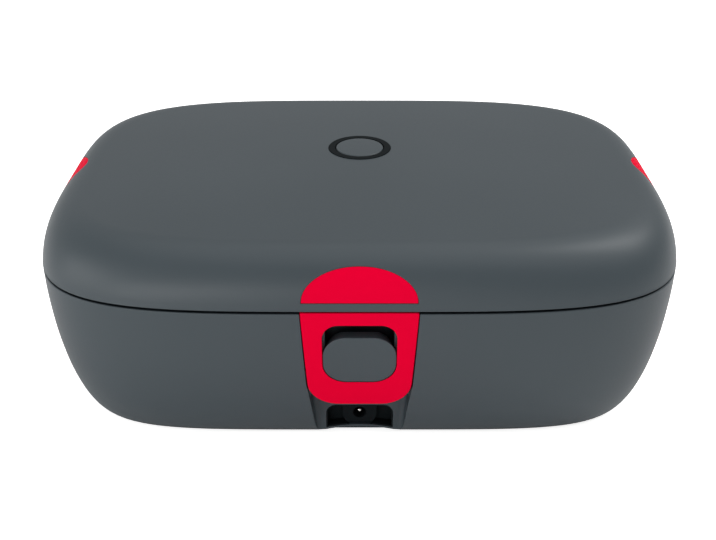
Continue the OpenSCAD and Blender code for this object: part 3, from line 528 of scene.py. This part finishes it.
def leadSkin():
    # soft PVC, red on the live leads and black on the return, with the faint ripple of the extruder
    material, tree, shader = startMaterial("PVC lead insulation, red and black", {"Roughness": 0.42, "IOR": 1.53})
    place = addNode(tree, "ShaderNodeTexCoord")
    split = addNode(tree, "ShaderNodeSeparateXYZ", None, {"Vector": (place, "Object")})
    behind = addNode(tree, "ShaderNodeMath", {"operation": "GREATER_THAN", 1: 0.0}, {0: (split, "Y")})
    moved = addNode(tree, "ShaderNodeMath", {"operation": "MULTIPLY_ADD", 1: 0.027},
        {0: (behind, "Value"), 2: (split, "X")})
    live = addNode(tree, "ShaderNodeMath", {"operation": "GREATER_THAN", 1: 0.0}, {0: (moved, "Value")})
    ripple = addNode(tree, "ShaderNodeTexNoise", {"Scale": 1.0, "Detail": 2.0},
        {"Vector": (patternSpace(tree, (1.5, 1.5, 1.5)), "Vector")})
    red = addNode(tree, "ShaderNodeMix",
        {"data_type": "RGBA", 6: linearFromHex("#96141F"), 7: linearFromHex("#AE2430")}, {0: (ripple, "Fac")})
    skin = addNode(tree, "ShaderNodeMix", {"data_type": "RGBA", 6: linearFromHex("#1B1E21")},
        {0: (live, "Value"), 7: (red, 2)})
    tree.links.new(skin.outputs[2], shader.inputs["Base Color"])
    return material


print("materials made")

# latches: flat work in X, along the side, and Z, with its depth inwards in Y, bent on to the wall at the end
latchPlan = {
    # gap is the play that a moving latch has, seenGap the one that shows round it when it is shut
    "width": 45.8, "taper": 3.8, "length": 47.9, "thickness": 2.2, "lowCorner": 12.5, "highCorner": 1.0,
    "windowWidth": 29.3, "windowHeight": 28.5, "windowDrop": 6, "windowLow": 9.5, "windowHigh": 6.3,
    "padDrop": 5.8, "padHigh": 9, "wellDrop": 15.7, "gap": 0.4, "seenGap": 0.2, "sideDraft": 0.1, "footDraft": 1.6,
    "edge": 0.45, "padEdge": 0.35,
    "pinIn": 3.2, "pinDrop": 2.8, "pinWidth": 1.6, "knuckleWidth": 28, "lugWidth": 4,
    "endGap": 0.4, "runGap": 0.05, "lugReach": 11.6,
}
latchTop = seamZ
latchFoot = latchTop - latchPlan["length"]
latchBack = latchPlan["thickness"] + latchPlan["gap"]
windowTop = seamZ - latchPlan["windowDrop"]
windowFoot = windowTop - latchPlan["windowHeight"]
pinZ = seamZ - latchPlan["pinDrop"]
knuckleRadius = latchPlan["pinWidth"] / 2 + 1.2
lugRadius = latchPlan["pinWidth"] / 2 + 0.8
lugX = latchPlan["knuckleWidth"] / 2 + latchPlan["endGap"] + latchPlan["lugWidth"] / 2
latchSweep = math.hypot(latchPlan["pinIn"], latchTop - pinZ) + 0.3
latchPlate = {
    "low": latchFoot, "high": latchTop, "lowWidth": latchPlan["width"] - latchPlan["taper"],
    "highWidth": latchPlan["width"], "lowCorner": latchPlan["lowCorner"], "highCorner": latchPlan["highCorner"],
    "sideDraft": -latchPlan["sideDraft"],
}
windowPlate = {
    "low": windowFoot, "high": windowTop, "lowWidth": latchPlan["windowWidth"],
    "highWidth": latchPlan["windowWidth"], "lowCorner": latchPlan["windowLow"],
    "highCorner": latchPlan["windowHigh"], "sideDraft": latchPlan["sideDraft"],
    "footDraft": latchPlan["footDraft"],
}


def pinAt(side):
    return latchPlan["pinIn"] - halfSpan(side)


def plateBlock(plan, front, back, radius=0):
    # solid plate from an outline; its faces run in to a small middle, so that it can be bent
    middle = (plan["low"] + plan["high"]) / 2
    core = {"low": mixTo(middle, plan["low"], 0.1), "high": mixTo(middle, plan["high"], 0.1)}
    core.update({key: plan[key] * 0.1 for key in ("lowWidth", "highWidth", "lowCorner", "highCorner")})
    shares = (0.2, 0.4, 0.6, 0.8, 1)
    rows = [(plan, 0, back, core, 0, s) for s in shares[::-1]] + [(plan, 0, back)]
    rows += roundRows(plan, radius) if radius else [(plan, 0, front)]
    rows += [(plan, -radius, front, core, 0, s) for s in shares]
    return loftRings(platePoint, rows, plateColumns)


def makeLatch(side):
    plan = latchPlan
    edge, back = plan["edge"], plan["thickness"]
    rows = [(latchPlate, 0, back)] + roundRows(latchPlate, edge)
    rows += [(latchPlate, -edge, 0, windowPlate, edge, s) for s in (0.25, 0.5, 0.75)]
    rows += roundRows(windowPlate, edge, outer=False) + [(windowPlate, 0, back)]
    rows += [(windowPlate, 0, back, latchPlate, 0, s) for s in (0.33, 0.67)]
    plate = bendToWall(loftRings(platePoint, rows, plateColumns, closed=True), side)
    half, here = plan["knuckleWidth"] / 2, pinAt(side)
    knuckle = roundRod(2 * knuckleRadius, plan["knuckleWidth"], (0, here, pinZ), "X")
    web = plainBlock((-half, here - plan["pinIn"] + back / 2, pinZ - knuckleRadius),
        (half, here, pinZ + knuckleRadius))
    whole = carve(plate, [turnToSide(knuckle, side), turnToSide(web, side)], "UNION")
    cuts = [roundRod(plan["pinWidth"] + 2 * plan["runGap"], 60, (0, here, pinZ), "X")]
    room = lugRadius + plan["gap"]
    half = plan["lugWidth"] / 2 + plan["endGap"]
    for x in (-lugX, lugX):
        cuts.append(roundRod(2 * room, 2 * half, (x, here, pinZ), "X"))
        cuts.append(plainBlock((x - half, here - room, pinZ), (x + half, here - room + plan["pinIn"], pinZ + 5)))
    whole = carve(whole, [turnToSide(cut, side) for cut in cuts])
    node = sideNames[side] + "_latch"
    finishPiece(whole, sideNames[side] + "LatchSkin", node, [node], redAbs)


# caps over the latches: an arch on a straight foot, sunk flush into the lid's shoulder
capPlan = {
    "width": 44.8, "height": 13.2, "topDrop": 0.9, "power": 2.15, "rise": 4.2, "thickness": 1.8, "edge": 0.3,
    "gap": 0.12,
}
capHeights = [capPlan["height"], shoulderHeight - capPlan["rise"] - capPlan["topDrop"]] * 2
capColumns = 96


def capPoint(k, side, grow, depth, share=0):
    # point on a cap's outline, or the share of the way in to its middle
    foot, tall = seamZ + capPlan["rise"] - grow, capHeights[side] + 2 * grow
    half, arch = capPlan["width"] / 2 + grow, capColumns * 2 // 3
    if k <= arch:
        a = math.pi * k / arch
        x = math.copysign(abs(math.cos(a)) ** (2 / capPlan["power"]), math.cos(a)) * half
        z = foot + tall * max(math.sin(a), 0) ** (2 / capPlan["power"])
    else:
        x, z = mixTo(-half, half, (k - arch) / (capColumns - arch)), foot
    return Vector((x * (1 - share * 0.95), depth, mixTo(z, foot + tall * 0.45, share * 0.95)))


def capBlock(side, grow, front, back, radius=0):
    shares = (0.2, 0.4, 0.6, 0.8, 1)
    rows = [(side, grow, back, s) for s in shares[::-1]] + [(side, grow, back)]
    for k in range(5 if radius else 1):
        a = math.pi / 2 * k / 4
        rows.append((side, grow - radius * (1 - math.cos(a)), front + radius * (1 - math.sin(a))))
    rows += [(side, grow - radius, front, s) for s in shares]
    return bendToWall(loftRings(capPoint, rows, capColumns), side)


def makeCap(side):
    cap = capBlock(side, 0, 0, capPlan["thickness"], capPlan["edge"])
    finishPiece(cap, sideNames[side] + "CapSkin", "lid", [sideNames[side] + "_cap"], redAbs)


for side in range(4):
    makeLatch(side)
    makeCap(side)
print("latches and caps made")

# lower shell: recesses for the latches and fingertips, pin pockets, catch pads, inlet bay
outside = 5  # how far a cutter starts outside the skin
recessPlan = {
    "in": 16.5, "cornerIn": 1.9, "cornerWidth": 42.6, "roofWidth": 41, "footWidth": 34.4, "roof": 5.5,
    "corner": 2.2,
}
bayPlan = {
    "width": 28, "height": 15.3, "corner": 4, "archHeight": 4.3, "archRadius": 62, "archDepth": 4.5,
    "archSteps": 360, "sill": 1, "gap": 0.12,
}
screwPlan = {
    "x": 70, "y": 48, "width": 3, "headWidth": 6, "headHeight": 2, "sink": 3.6, "length": 12, "bossWidth": 11,
    "bossLength": 14.4, "shankRoom": 0.4, "headRoom": 0.8, "crossLong": 1.6, "crossThin": 0.35,
    "crossDeep": 1.1, "point": 0.8,
}
footPlan = {
    "x": 95, "y": 55, "width": 14, "sink": 1.2, "edge": 0.7, "gap": 0.12, "hollow": 0.35, "steps": 64,
}
screwSpots = [(x * screwPlan["x"], y * screwPlan["y"]) for x in (-1, 1) for y in (-1, 1)]
footSpots = [(x * footPlan["x"], y * footPlan["y"]) for x in (-1, 1) for y in (-1, 1)]
pocketWidth = latchPlan["knuckleWidth"] + 2 * latchPlan["lugWidth"] + 6 * latchPlan["endGap"]
pocketDepth = latchPlan["lugReach"] + 0.6
pocketFoot = pinZ - knuckleRadius - 1
wellFoot = windowTop - latchPlan["wellDrop"]
faceY = recessPlan["in"] - boxForm["depth"] / 2


def softRing(inset, power, z):
    # a ring of a shell: half its width and depth, its squareness and its height
    return (boxForm["width"] / 2 - inset, boxForm["depth"] / 2 - inset, power, z)


def baseRings(inset, rim):
    rings = []
    count = boxForm["baseRows"]
    for k in range(count, -1, -1):
        s = math.sin(math.pi / 2 * k / count)
        back = baseInset(s) + inset
        power = mixTo(boxForm["seamPower"], boxForm["bottomPower"], s)
        rings.append(softRing(back, power, seamZ - boxForm["seamHeight"] * s + inset * s))
    if not rim:
        return rings + [rings[-1][:3] + (rings[-1][3] + boxForm["hollowReach"],)]
    # the rim is rounded over, then closed flat
    radius = boxForm["rimRound"]
    rings = [r for r in rings if r[3] < baseTop - radius - 0.2]
    for k in range(5):
        a = math.pi / 2 * k / 4
        back = radius * (1 - math.cos(a))
        rings.append(softRing(back, boxForm["seamPower"], baseTop - radius + radius * math.sin(a)))
    return rings


def recessPlate(grow):
    # outline of the latch, grown, that runs out above the seam
    plan = latchPlan
    return {
        "low": latchFoot - grow, "high": latchTop + outside, "lowWidth": plan["width"] - plan["taper"] + 2 * grow,
        "highWidth": plan["width"] + 2 * grow, "lowCorner": plan["lowCorner"] + grow, "highCorner": 1,
    }


def stationWall(side):
    # wall behind a latch recess
    return bendToWall(plateBlock(recessPlate(2), 1, latchBack + boxForm["wall"]), side)


def recessCut(side):
    # follows the latch closely; beside its round lower corners the sides run on straight to the foot
    plate = {**recessPlate(latchPlan["seenGap"]), "sideDraft": -latchPlan["sideDraft"]}
    below = {
        "low": latchFoot - 1, "high": latchFoot + latchPlan["lowCorner"], "lowWidth": recessPlan["roofWidth"] - 1,
        "highWidth": recessPlan["cornerWidth"], "lowCorner": 1, "highCorner": 1,
    }
    cutters = ((plate, latchBack), (below, recessPlan["cornerIn"]))
    return [bendToWall(plateBlock(plan, -outside, back), side) for plan, back in cutters]


def catchPad(side):
    # fills the lower part of the latch's window, flush with its face
    gap = latchPlan["seenGap"]
    wide = latchPlan["windowWidth"] - 2 * gap
    plate = {**windowPlate, "low": windowFoot + gap, "lowWidth": wide, "highWidth": wide}
    plate.update({"high": windowTop - latchPlan["padDrop"], "highCorner": latchPlan["padHigh"]})
    return bendToWall(plateBlock(plate, 0, latchBack + boxForm["wall"] - 0.2, latchPlan["padEdge"]), side)


def pinPocket(side, grow):
    # room for the latch's pin and lugs, and the well behind the open part of its window
    near, far = -halfSpan(side) - outside, pocketDepth + grow - halfSpan(side)
    pocket = plainBlock((-pocketWidth / 2 - grow, near, pocketFoot - grow),
        (pocketWidth / 2 + grow, far, pocketFoot - grow + 10))
    half = latchPlan["windowWidth"] / 2 - 1 + grow
    well = plainBlock((-half, near, wellFoot - grow), (half, far, pocketFoot + 1))
    return [turnToSide(pocket, side), turnToSide(well, side)]


def fingerBlock(side, grow, corner=0):
    # room for a fingertip under the latch, narrower towards the bottom edge
    roof, far = latchFoot + recessPlan["roof"] + grow, recessPlan["in"] + grow - halfSpan(side)
    bm = plainBlock((-1, -outside - halfSpan(side), -outside), (1, far, roof))
    for v in bm.verts:
        half = recessPlan["footWidth" if v.co.z < 0 else "roofWidth"] / 2
        v.co.x = math.copysign(half + grow, v.co.x)

    def inner(e):
        # edges round the back face of the room, and along its roof
        a, b = (v.co for v in e.verts)
        atBack = min(a.y, b.y) > far - 0.01 and (min(a.z, b.z) > -outside or abs(a.z - b.z) > 1)
        return atBack or min(a.z, b.z) > roof - 0.01 and abs(a.y - b.y) > 1

    if corner:
        roundEdges(bm, corner, inner)
    return turnToSide(bm, side)


def bayBlock(grow, near, far):
    # opening of the inlet bay: rounded at its top corners, arched over the sill at its foot
    half, top = bayPlan["width"] / 2 + grow, boxForm["footHeight"] + bayPlan["height"] + grow
    bm = plainBlock((-half, near, boxForm["footHeight"]), (half, far, top))

    def upper(e):
        a, b = (v.co for v in e.verts)
        return min(a.z, b.z) > top - 0.01 and abs(a.y - b.y) > 1

    roundEdges(bm, bayPlan["corner"] + grow, upper)
    return carve(bm, [archRod(bayPlan["sill"] - grow, near - 1, far + 1)])


def archRod(grow, near, far):
    centreZ = boxForm["footHeight"] + bayPlan["archHeight"] - bayPlan["archRadius"]
    return roundRod(2 * (bayPlan["archRadius"] + grow), far - near, (0, (near + far) / 2, centreZ), "Y",
        bayPlan["archSteps"])


def makeBaseShell():
    foot = boxForm["footHeight"]
    wall = boxForm["wall"]
    hollow = loftRings(softPoint, baseRings(wall, False), boxForm["columns"])
    keep = []
    for side in range(4):
        keep += [stationWall(side), fingerBlock(side, wall)] + pinPocket(side, 2)
    half = recessPlan["footWidth"] / 2 + wall
    keep.append(plainBlock((-half, faceY, foot),
        (half, faceY + bayPlan["archDepth"] + wall, foot + bayPlan["archHeight"] + 2 * bayPlan["sill"])))
    keep += [roundRod(screwPlan["bossWidth"], screwPlan["bossLength"], (x, y, foot)) for x, y in screwSpots]
    hollow = carve(hollow, keep)
    cuts = [hollow]
    for side in range(4):
        cuts += recessCut(side) + pinPocket(side, 0)
    shell = carve(loftRings(softPoint, baseRings(0, True), boxForm["columns"]), cuts)
    shell = carve(shell, [catchPad(side) for side in range(4)], "UNION")
    cuts = [fingerBlock(side, 0, recessPlan["corner"]) for side in range(4)]
    for x, y in screwSpots:
        cuts.append(roundRod(screwPlan["width"] + screwPlan["shankRoom"], 40, (x, y, 0)))
        cuts.append(roundRod(screwPlan["headWidth"] + screwPlan["headRoom"], 2 * screwPlan["sink"], (x, y, foot)))
    cuts += [roundRod(footPlan["width"] + 2 * footPlan["gap"], 2 * (foot + footPlan["sink"]), (x, y, 0),
        steps=footPlan["steps"]) for x, y in footSpots]
    cuts.append(bayBlock(bayPlan["gap"], faceY - outside, faceY + wall + outside))
    half = recessPlan["footWidth"] / 2
    strip = plainBlock((-half, -200, -200), (half, 0, 50))
    notch = carve(archRod(0, faceY - outside, faceY + bayPlan["archDepth"]), [strip], "INTERSECT")
    cuts.append(notch)
    finishPiece(carve(shell, cuts), "baseShellSkin", "base", ["base_shell"], greyAbs)


makeBaseShell()
print("lower shell made")

# lid: its shoulder runs into a nearly flat crown
ventPlan = {
    "y": 13.4, "ring": 28.6, "button": 21.8, "hole": 25.2, "seat": 1.6, "proud": 0.3, "lip": 0.8, "travel": 1.5,
    "buttonProud": 0.5, "buttonHeight": 4.4, "stem": 4, "stemFoot": 65.1, "ringEdge": 0.35, "buttonEdge": 0.7,
    "gap": 0.12, "buttonGap": 0.3, "lipIn": 1, "buttonRoof": 2.4, "skirt": 1.6, "footRim": 2.5, "footHigh": 1,
    "bossRim": 4,
}
# rings of the crown, as shares of its half width, closer together near the shoulder
crownRings = (0.985, 0.96, 0.92, 0.87, 0.8, 0.72, 0.63, 0.54, 0.45, 0.36, 0.27, 0.18, 0.1, 0.04)


def lidRings(inset, rim):
    rings = []
    count = boxForm["lidRows"]
    for k in range(count + 1):
        u = math.sin(math.pi / 2 * k / count)
        back = lidInset(u) + inset
        power = mixTo(boxForm["seamPower"], boxForm["topPower"], u)
        rings.append(softRing(back, power, seamZ + (shoulderHeight - inset) * u))
    if rim:
        radius = boxForm["rimRound"]
        curl = []
        for k in range(5):
            a = math.pi / 2 * (1 - k / 4)
            back = radius * (1 - math.cos(a))
            curl.append(softRing(back, boxForm["seamPower"], lidBottom + radius - radius * math.sin(a)))
        rings = curl + [r for r in rings if r[3] > lidBottom + radius + 0.1]
    else:
        rings = [rings[0][:3] + (rings[0][3] - boxForm["hollowReach"],)] + rings
    wide, deep = (boxForm[key] / 2 - boxForm["shoulder"] - inset for key in ("width", "depth"))
    for r in crownRings:
        z = seamZ + shoulderHeight - inset + boxForm["crown"] * (1 - r * r)
        rings.append((wide * r, deep * r, boxForm["topPower"], z))
    return rings


def latchLugs(side):
    # two lugs that hold the latch's pin, on risers from the lid
    plan = latchPlan
    here, reach, riser = pinAt(side), plan["lugReach"] - plan["pinIn"], latchSweep + 0.3
    lugs = []
    for x in (-lugX, lugX):
        half = plan["lugWidth"] / 2
        lugs.append(roundRod(2 * lugRadius, plan["lugWidth"], (x, here, pinZ), "X"))
        lugs.append(plainBlock((x - half, here, pinZ - lugRadius), (x + half, here + reach, pinZ)))
        lugs.append(plainBlock((x - half, here + riser, pinZ - lugRadius),
            (x + half, here + reach, pinZ + plan["pinDrop"] + 5)))
    return [turnToSide(lug, side) for lug in lugs]


def makeLidShell():
    plan = latchPlan
    wide = plan["knuckleWidth"] / 2 + plan["lugWidth"] + plan["endGap"]
    hollow = loftRings(softPoint, lidRings(boxForm["wall"], False), boxForm["columns"])
    keep, cuts, lugs, bores = [], [], [], []
    for side in range(4):
        edge = -halfSpan(side)
        keep.append(turnToSide(plainBlock((-wide, edge - 1, lidBottom - 6),
            (wide, edge + plan["lugReach"], lidBottom + capPlan["rise"] + 5)), side))
        keep.append(capBlock(side, 1.5, -0.5, capPlan["thickness"] + boxForm["wall"]))
        cuts.append(turnToSide(roundRod(2 * latchSweep, plan["width"] + 1.6, (0, pinAt(side), pinZ), "X", 96), side))
        cuts.append(capBlock(side, capPlan["gap"], -1, capPlan["thickness"] + capPlan["gap"]))
        lugs += latchLugs(side)
        bores.append(turnToSide(roundRod(plan["pinWidth"], 60, (0, pinAt(side), pinZ), "X"), side))
    shell = carve(loftRings(softPoint, lidRings(0, True), boxForm["columns"]), [carve(hollow, keep)] + cuts)
    seat = topZ - ventPlan["seat"]
    lugs.append(roundRod(ventPlan["ring"] + ventPlan["bossRim"], boxForm["wall"] + 0.6,
        (0, ventPlan["y"], topZ - boxForm["wall"] - 0.7), steps=96))
    shell = carve(shell, lugs, "UNION")
    bores.append(roundRod(ventPlan["ring"] + 2 * ventPlan["gap"], 10, (0, ventPlan["y"], seat + 5), steps=128))
    bores.append(roundRod(ventPlan["hole"] + 2 * ventPlan["gap"], 30, (0, ventPlan["y"], topZ), steps=128))
    finishPiece(carve(shell, bores), "lidShellSkin", "lid", ["lid_shell"], greyAbs)


makeLidShell()
print("lid shell made")


def makeVent():
    # steam vent: a ring with a sleeve and lower lip, and the button with its stem and foot
    plan = ventPlan
    centre = (0, plan["y"], 0)
    top, edge = topZ + plan["proud"], plan["ringEdge"]
    buttonTop = topZ + plan["buttonProud"]
    lipZ = buttonTop - plan["buttonHeight"] - plan["travel"] - plan["buttonGap"]
    outer, sleeve = plan["ring"] / 2, plan["hole"] / 2
    inner, lip = plan["button"] / 2 + plan["buttonGap"], plan["button"] / 2 - plan["lipIn"]
    low, seat = lipZ - plan["lip"], topZ - plan["seat"]
    outline = [(lip, low), (sleeve, low), (sleeve, seat), (outer, seat)]
    outline += filletPoints(outer - edge, top - edge, edge, 0, 90)
    outline += filletPoints(inner + edge, top - edge, edge, 90, 180)
    outline += [(inner, lipZ), (lip, lipZ)]
    finishPiece(turnedPiece(outline, centre), "ventRingSkin", "lid", ["vent_ring"], blackNylon)
    rim, edge, stem = plan["button"] / 2, plan["buttonEdge"], plan["stem"] / 2
    foot, hollow, skirt = buttonTop - plan["buttonHeight"], buttonTop - plan["buttonRoof"], rim - plan["skirt"]
    wide, low, high = stem + plan["footRim"], plan["stemFoot"], plan["stemFoot"] + plan["footHigh"]
    outline = [(0, low), (wide, low), (wide, high), (stem, high)]
    outline += [(stem, hollow), (skirt, hollow), (skirt, foot), (rim, foot)]
    outline += filletPoints(rim - edge, buttonTop - 0.12 - edge, edge, 0, 88)
    outline += [(rim * 0.5, buttonTop - 0.03), (0, buttonTop)]
    finishPiece(turnedPiece(outline, centre), "ventButtonSkin", "vent", ["vent_button"], greyAbs)


makeVent()
print("vent made")

# steel dish in the tub, drawn from sheet: soft bends at its rim and floor
dishPlan = {
    "width": 217.2, "depth": 137.2, "corner": 26.6, "sheet": 0.8, "floor": 22.9, "top": 70.7, "rim": 7,
    "floorRound": 7, "rimRound": 1.3,
}


def makeDish():
    plan = dishPlan
    t, wide, deep, corner = plan["sheet"], plan["width"], plan["depth"], plan["corner"]

    def row(out, z):
        return (wide + 2 * out, deep + 2 * out, corner + out, z)

    under, rows = plan["top"] - t, []
    rows += [row(x, z) for x, z in filletPoints(-plan["floorRound"], plan["floor"] + plan["floorRound"],
        plan["floorRound"], -90, 0, 8)]
    rows += [row(plan["rimRound"] + x, z)
        for x, z in filletPoints(0, under - plan["rimRound"], plan["rimRound"], 180, 90)]
    rows += [row(plan["rim"] - t / 2 + x, z) for x, z in filletPoints(0, plan["top"] - t / 2, t / 2, -90, 90, 6)]
    bend = plan["rimRound"] + t
    rows += [row(plan["rimRound"] + x, z) for x, z in filletPoints(0, plan["top"] - bend, bend, 90, 180)]
    rows += [row(-plan["floorRound"] + x, z)
        for x, z in filletPoints(0, plan["floor"] + plan["floorRound"], plan["floorRound"] - t, 0, -90, 8)]
    finishPiece(loftRings(slabPoint, rows, plateColumns), "dishSkin", "base", ["inner_dish"], drawnSteel)


makeDish()

# lid gasket: a square cord moulded to shape, with a soft lower lip
gasketPlan = {
    "width": 225.8, "depth": 145.8, "corner": 30.9, "cord": 4.28, "low": 70.7, "high": 73.7, "lip": 1.3,
}


def makeGasket():
    plan = gasketPlan
    lip, cord = plan["lip"], plan["cord"]

    def row(back, z):
        return (plan["width"] - 2 * back, plan["depth"] - 2 * back, plan["corner"] - back, z)

    rows = [row(0, plan["high"])] + [row(lip - x, z) for x, z in filletPoints(0, plan["low"] + lip, lip, 0, -90)]
    rows += [row(cord - lip - x, z)
        for x, z in filletPoints(0, plan["low"] + lip, lip, -90, -180)] + [row(cord, plan["high"])]
    finishPiece(loftRings(slabPoint, rows, plateColumns, closed=True), "gasketSkin", "lid", ["lid_gasket"],
        greySilicone)


makeGasket()
print("dish and gasket made")


def makeFeet():
    # push-in rubber feet, their lower edge round and their middle a little hollow
    plan = footPlan
    high, rim, edge = boxForm["footHeight"] + plan["sink"], plan["width"] / 2, plan["edge"]
    outline = [(0, plan["hollow"]), (rim - 3, plan["hollow"] - 0.1), (rim - 2.2, 0)] + filletPoints(rim - edge, edge,
        edge, -90, 0) + [(rim, high), (0, high)]
    feet = joinMeshes([turnedPiece(outline, (x, y, 0), plan["steps"]) for x, y in footSpots])
    finishPiece(feet, "feetSkin", "base", ["feet"], footRubber)


def makeBaseScrews():
    # pan head screws driven from below, with a cross recess
    plan = screwPlan
    rim, shank = plan["headWidth"] / 2, plan["width"] / 2
    under = boxForm["footHeight"] + plan["sink"]
    low = under - plan["headHeight"]
    tip = under + plan["length"]
    outline = [(0, low), (rim * 0.6, low + 0.12), (rim * 0.88, low + 0.5), (rim, low + 1.1), (rim, under),
        (shank, under)]
    outline += [(shank, tip - 1), (shank - plan["point"], tip), (0, tip)]
    long, thin, deep = plan["crossLong"], plan["crossThin"], plan["crossDeep"]
    screws = []
    for x, y in screwSpots:
        cross = [plainBlock((x - a, y - b, low - 1), (x + a, y + b, low + deep))
            for a, b in ((long, thin), (thin, long))]
        screws.append(carve(turnedPiece(outline, (x, y, 0), 48), cross))
    finishPiece(joinMeshes(screws), "baseScrewSkin", "base", ["base_screws"], zincSteel)


makeFeet()
makeBaseScrews()
print("feet and screws made")

# the other nodes keep their solids and get their own finish
finishes = {
    "base_liner": darkPp, "lid_liner": darkPp, "power_jack": blackNylon, "jack_bezel": blackNylon,
    "jack_pin": brightNickel,
    "heating_plate": castAluminium, "heating_element": micaSheet, "element_clamp": zincSteel,
    "clamp_screws": zincSteel,
    "thermostat": phenolicAndBrass(), "thermal_fuse": fuseCeramic, "insulation_pad": fibreFelt,
    "jack_leads": leadSkin(),
    "latch_pins": brightNickel, "vent_spring": brightNickel, "vent_seal": greySilicone,
}
for name, material in finishes.items():
    nodes[name].data.materials.clear()
    nodes[name].data.materials.append(material)
print("inner parts finished")

# plain pale floor and soft studio light
lightPlan = {
    "worldLeft": 0.66, "worldRight": 0.42, "sun": 1.3, "sunAngle": 90, "sunFrom": (0.3, 0.05, 1),
    "panels": [
        ("left", (-1.1, -0.45, 0.3), (0.8, 0.5), 3.0),
        ("right", (0.7, 0.1, 0.9), (0.4, 0.6), 3.4),
        ("front strip", (-0.55, -1.1, 0.12), (0.85, 0.05), 3.2),
    ],
    "floorHalf": 8, "floorWhite": 0.92, "floorGlow": 0.8, "aimHeight": 0.05,
}


def aimedLight(name, kind, place, settings):
    light = bpy.data.lights.new(name, kind)
    for key, value in settings.items():
        setattr(light, key, value)
    holder = bpy.data.objects.new(name, light)
    holder.location = place
    holder.rotation_mode = "QUATERNION"
    holder.rotation_quaternion = (Vector((0, 0, lightPlan["aimHeight"])) - Vector(place)).to_track_quat("-Z", "Y")
    bpy.context.scene.collection.objects.link(holder)


def makeRoom():
    bm = bmesh.new()
    bmesh.ops.create_grid(bm, x_segments=1, y_segments=1, size=lightPlan["floorHalf"])
    floor = addMesh(bm, "floor")
    material, tree, shader = startMaterial("pale floor",
        {"Base Color": (lightPlan["floorWhite"],) * 3 + (1,), "Roughness": 0.9, "Specular IOR Level": 0.0,
        "Emission Color": (1, 1, 1, 1)})
    # the floor is lifted to paper white where it is seen, and lights the box as plain card would
    ray = addNode(tree, "ShaderNodeLightPath")
    glow = addNode(tree, "ShaderNodeMath", {"operation": "MULTIPLY", 1: lightPlan["floorGlow"]},
        {0: (ray, "Is Camera Ray")})
    tree.links.new(glow.outputs["Value"], shader.inputs["Emission Strength"])
    floor.data.materials.append(material)
    world = bpy.data.worlds.new("soft room")
    bpy.context.scene.world = world
    world.use_nodes = True
    tree = world.node_tree
    tree.nodes.clear()
    place = addNode(tree, "ShaderNodeTexCoord")
    across = addNode(tree, "ShaderNodeSeparateXYZ", None, {"Vector": (place, "Generated")})
    fade = addNode(tree, "ShaderNodeMapRange",
        {"From Min": -1.0, "From Max": 1.0, "To Min": lightPlan["worldLeft"], "To Max": lightPlan["worldRight"]},
        {"Value": (across, "X")})
    sky = addNode(tree, "ShaderNodeBackground", {"Color": (1, 1, 1, 1)}, {"Strength": (fade, "Result")})
    addNode(tree, "ShaderNodeOutputWorld", None, {"Surface": (sky, "Background")})
    bpy.context.scene.view_settings.view_transform = "Standard"
    aimedLight("ceiling", "SUN", lightPlan["sunFrom"],
        {"energy": lightPlan["sun"], "angle": math.radians(lightPlan["sunAngle"])})
    for name, place, size, power in lightPlan["panels"]:
        aimedLight(name, "AREA", place, {"shape": "RECTANGLE", "size": size[0], "size_y": size[1], "energy": power})


makeRoom()
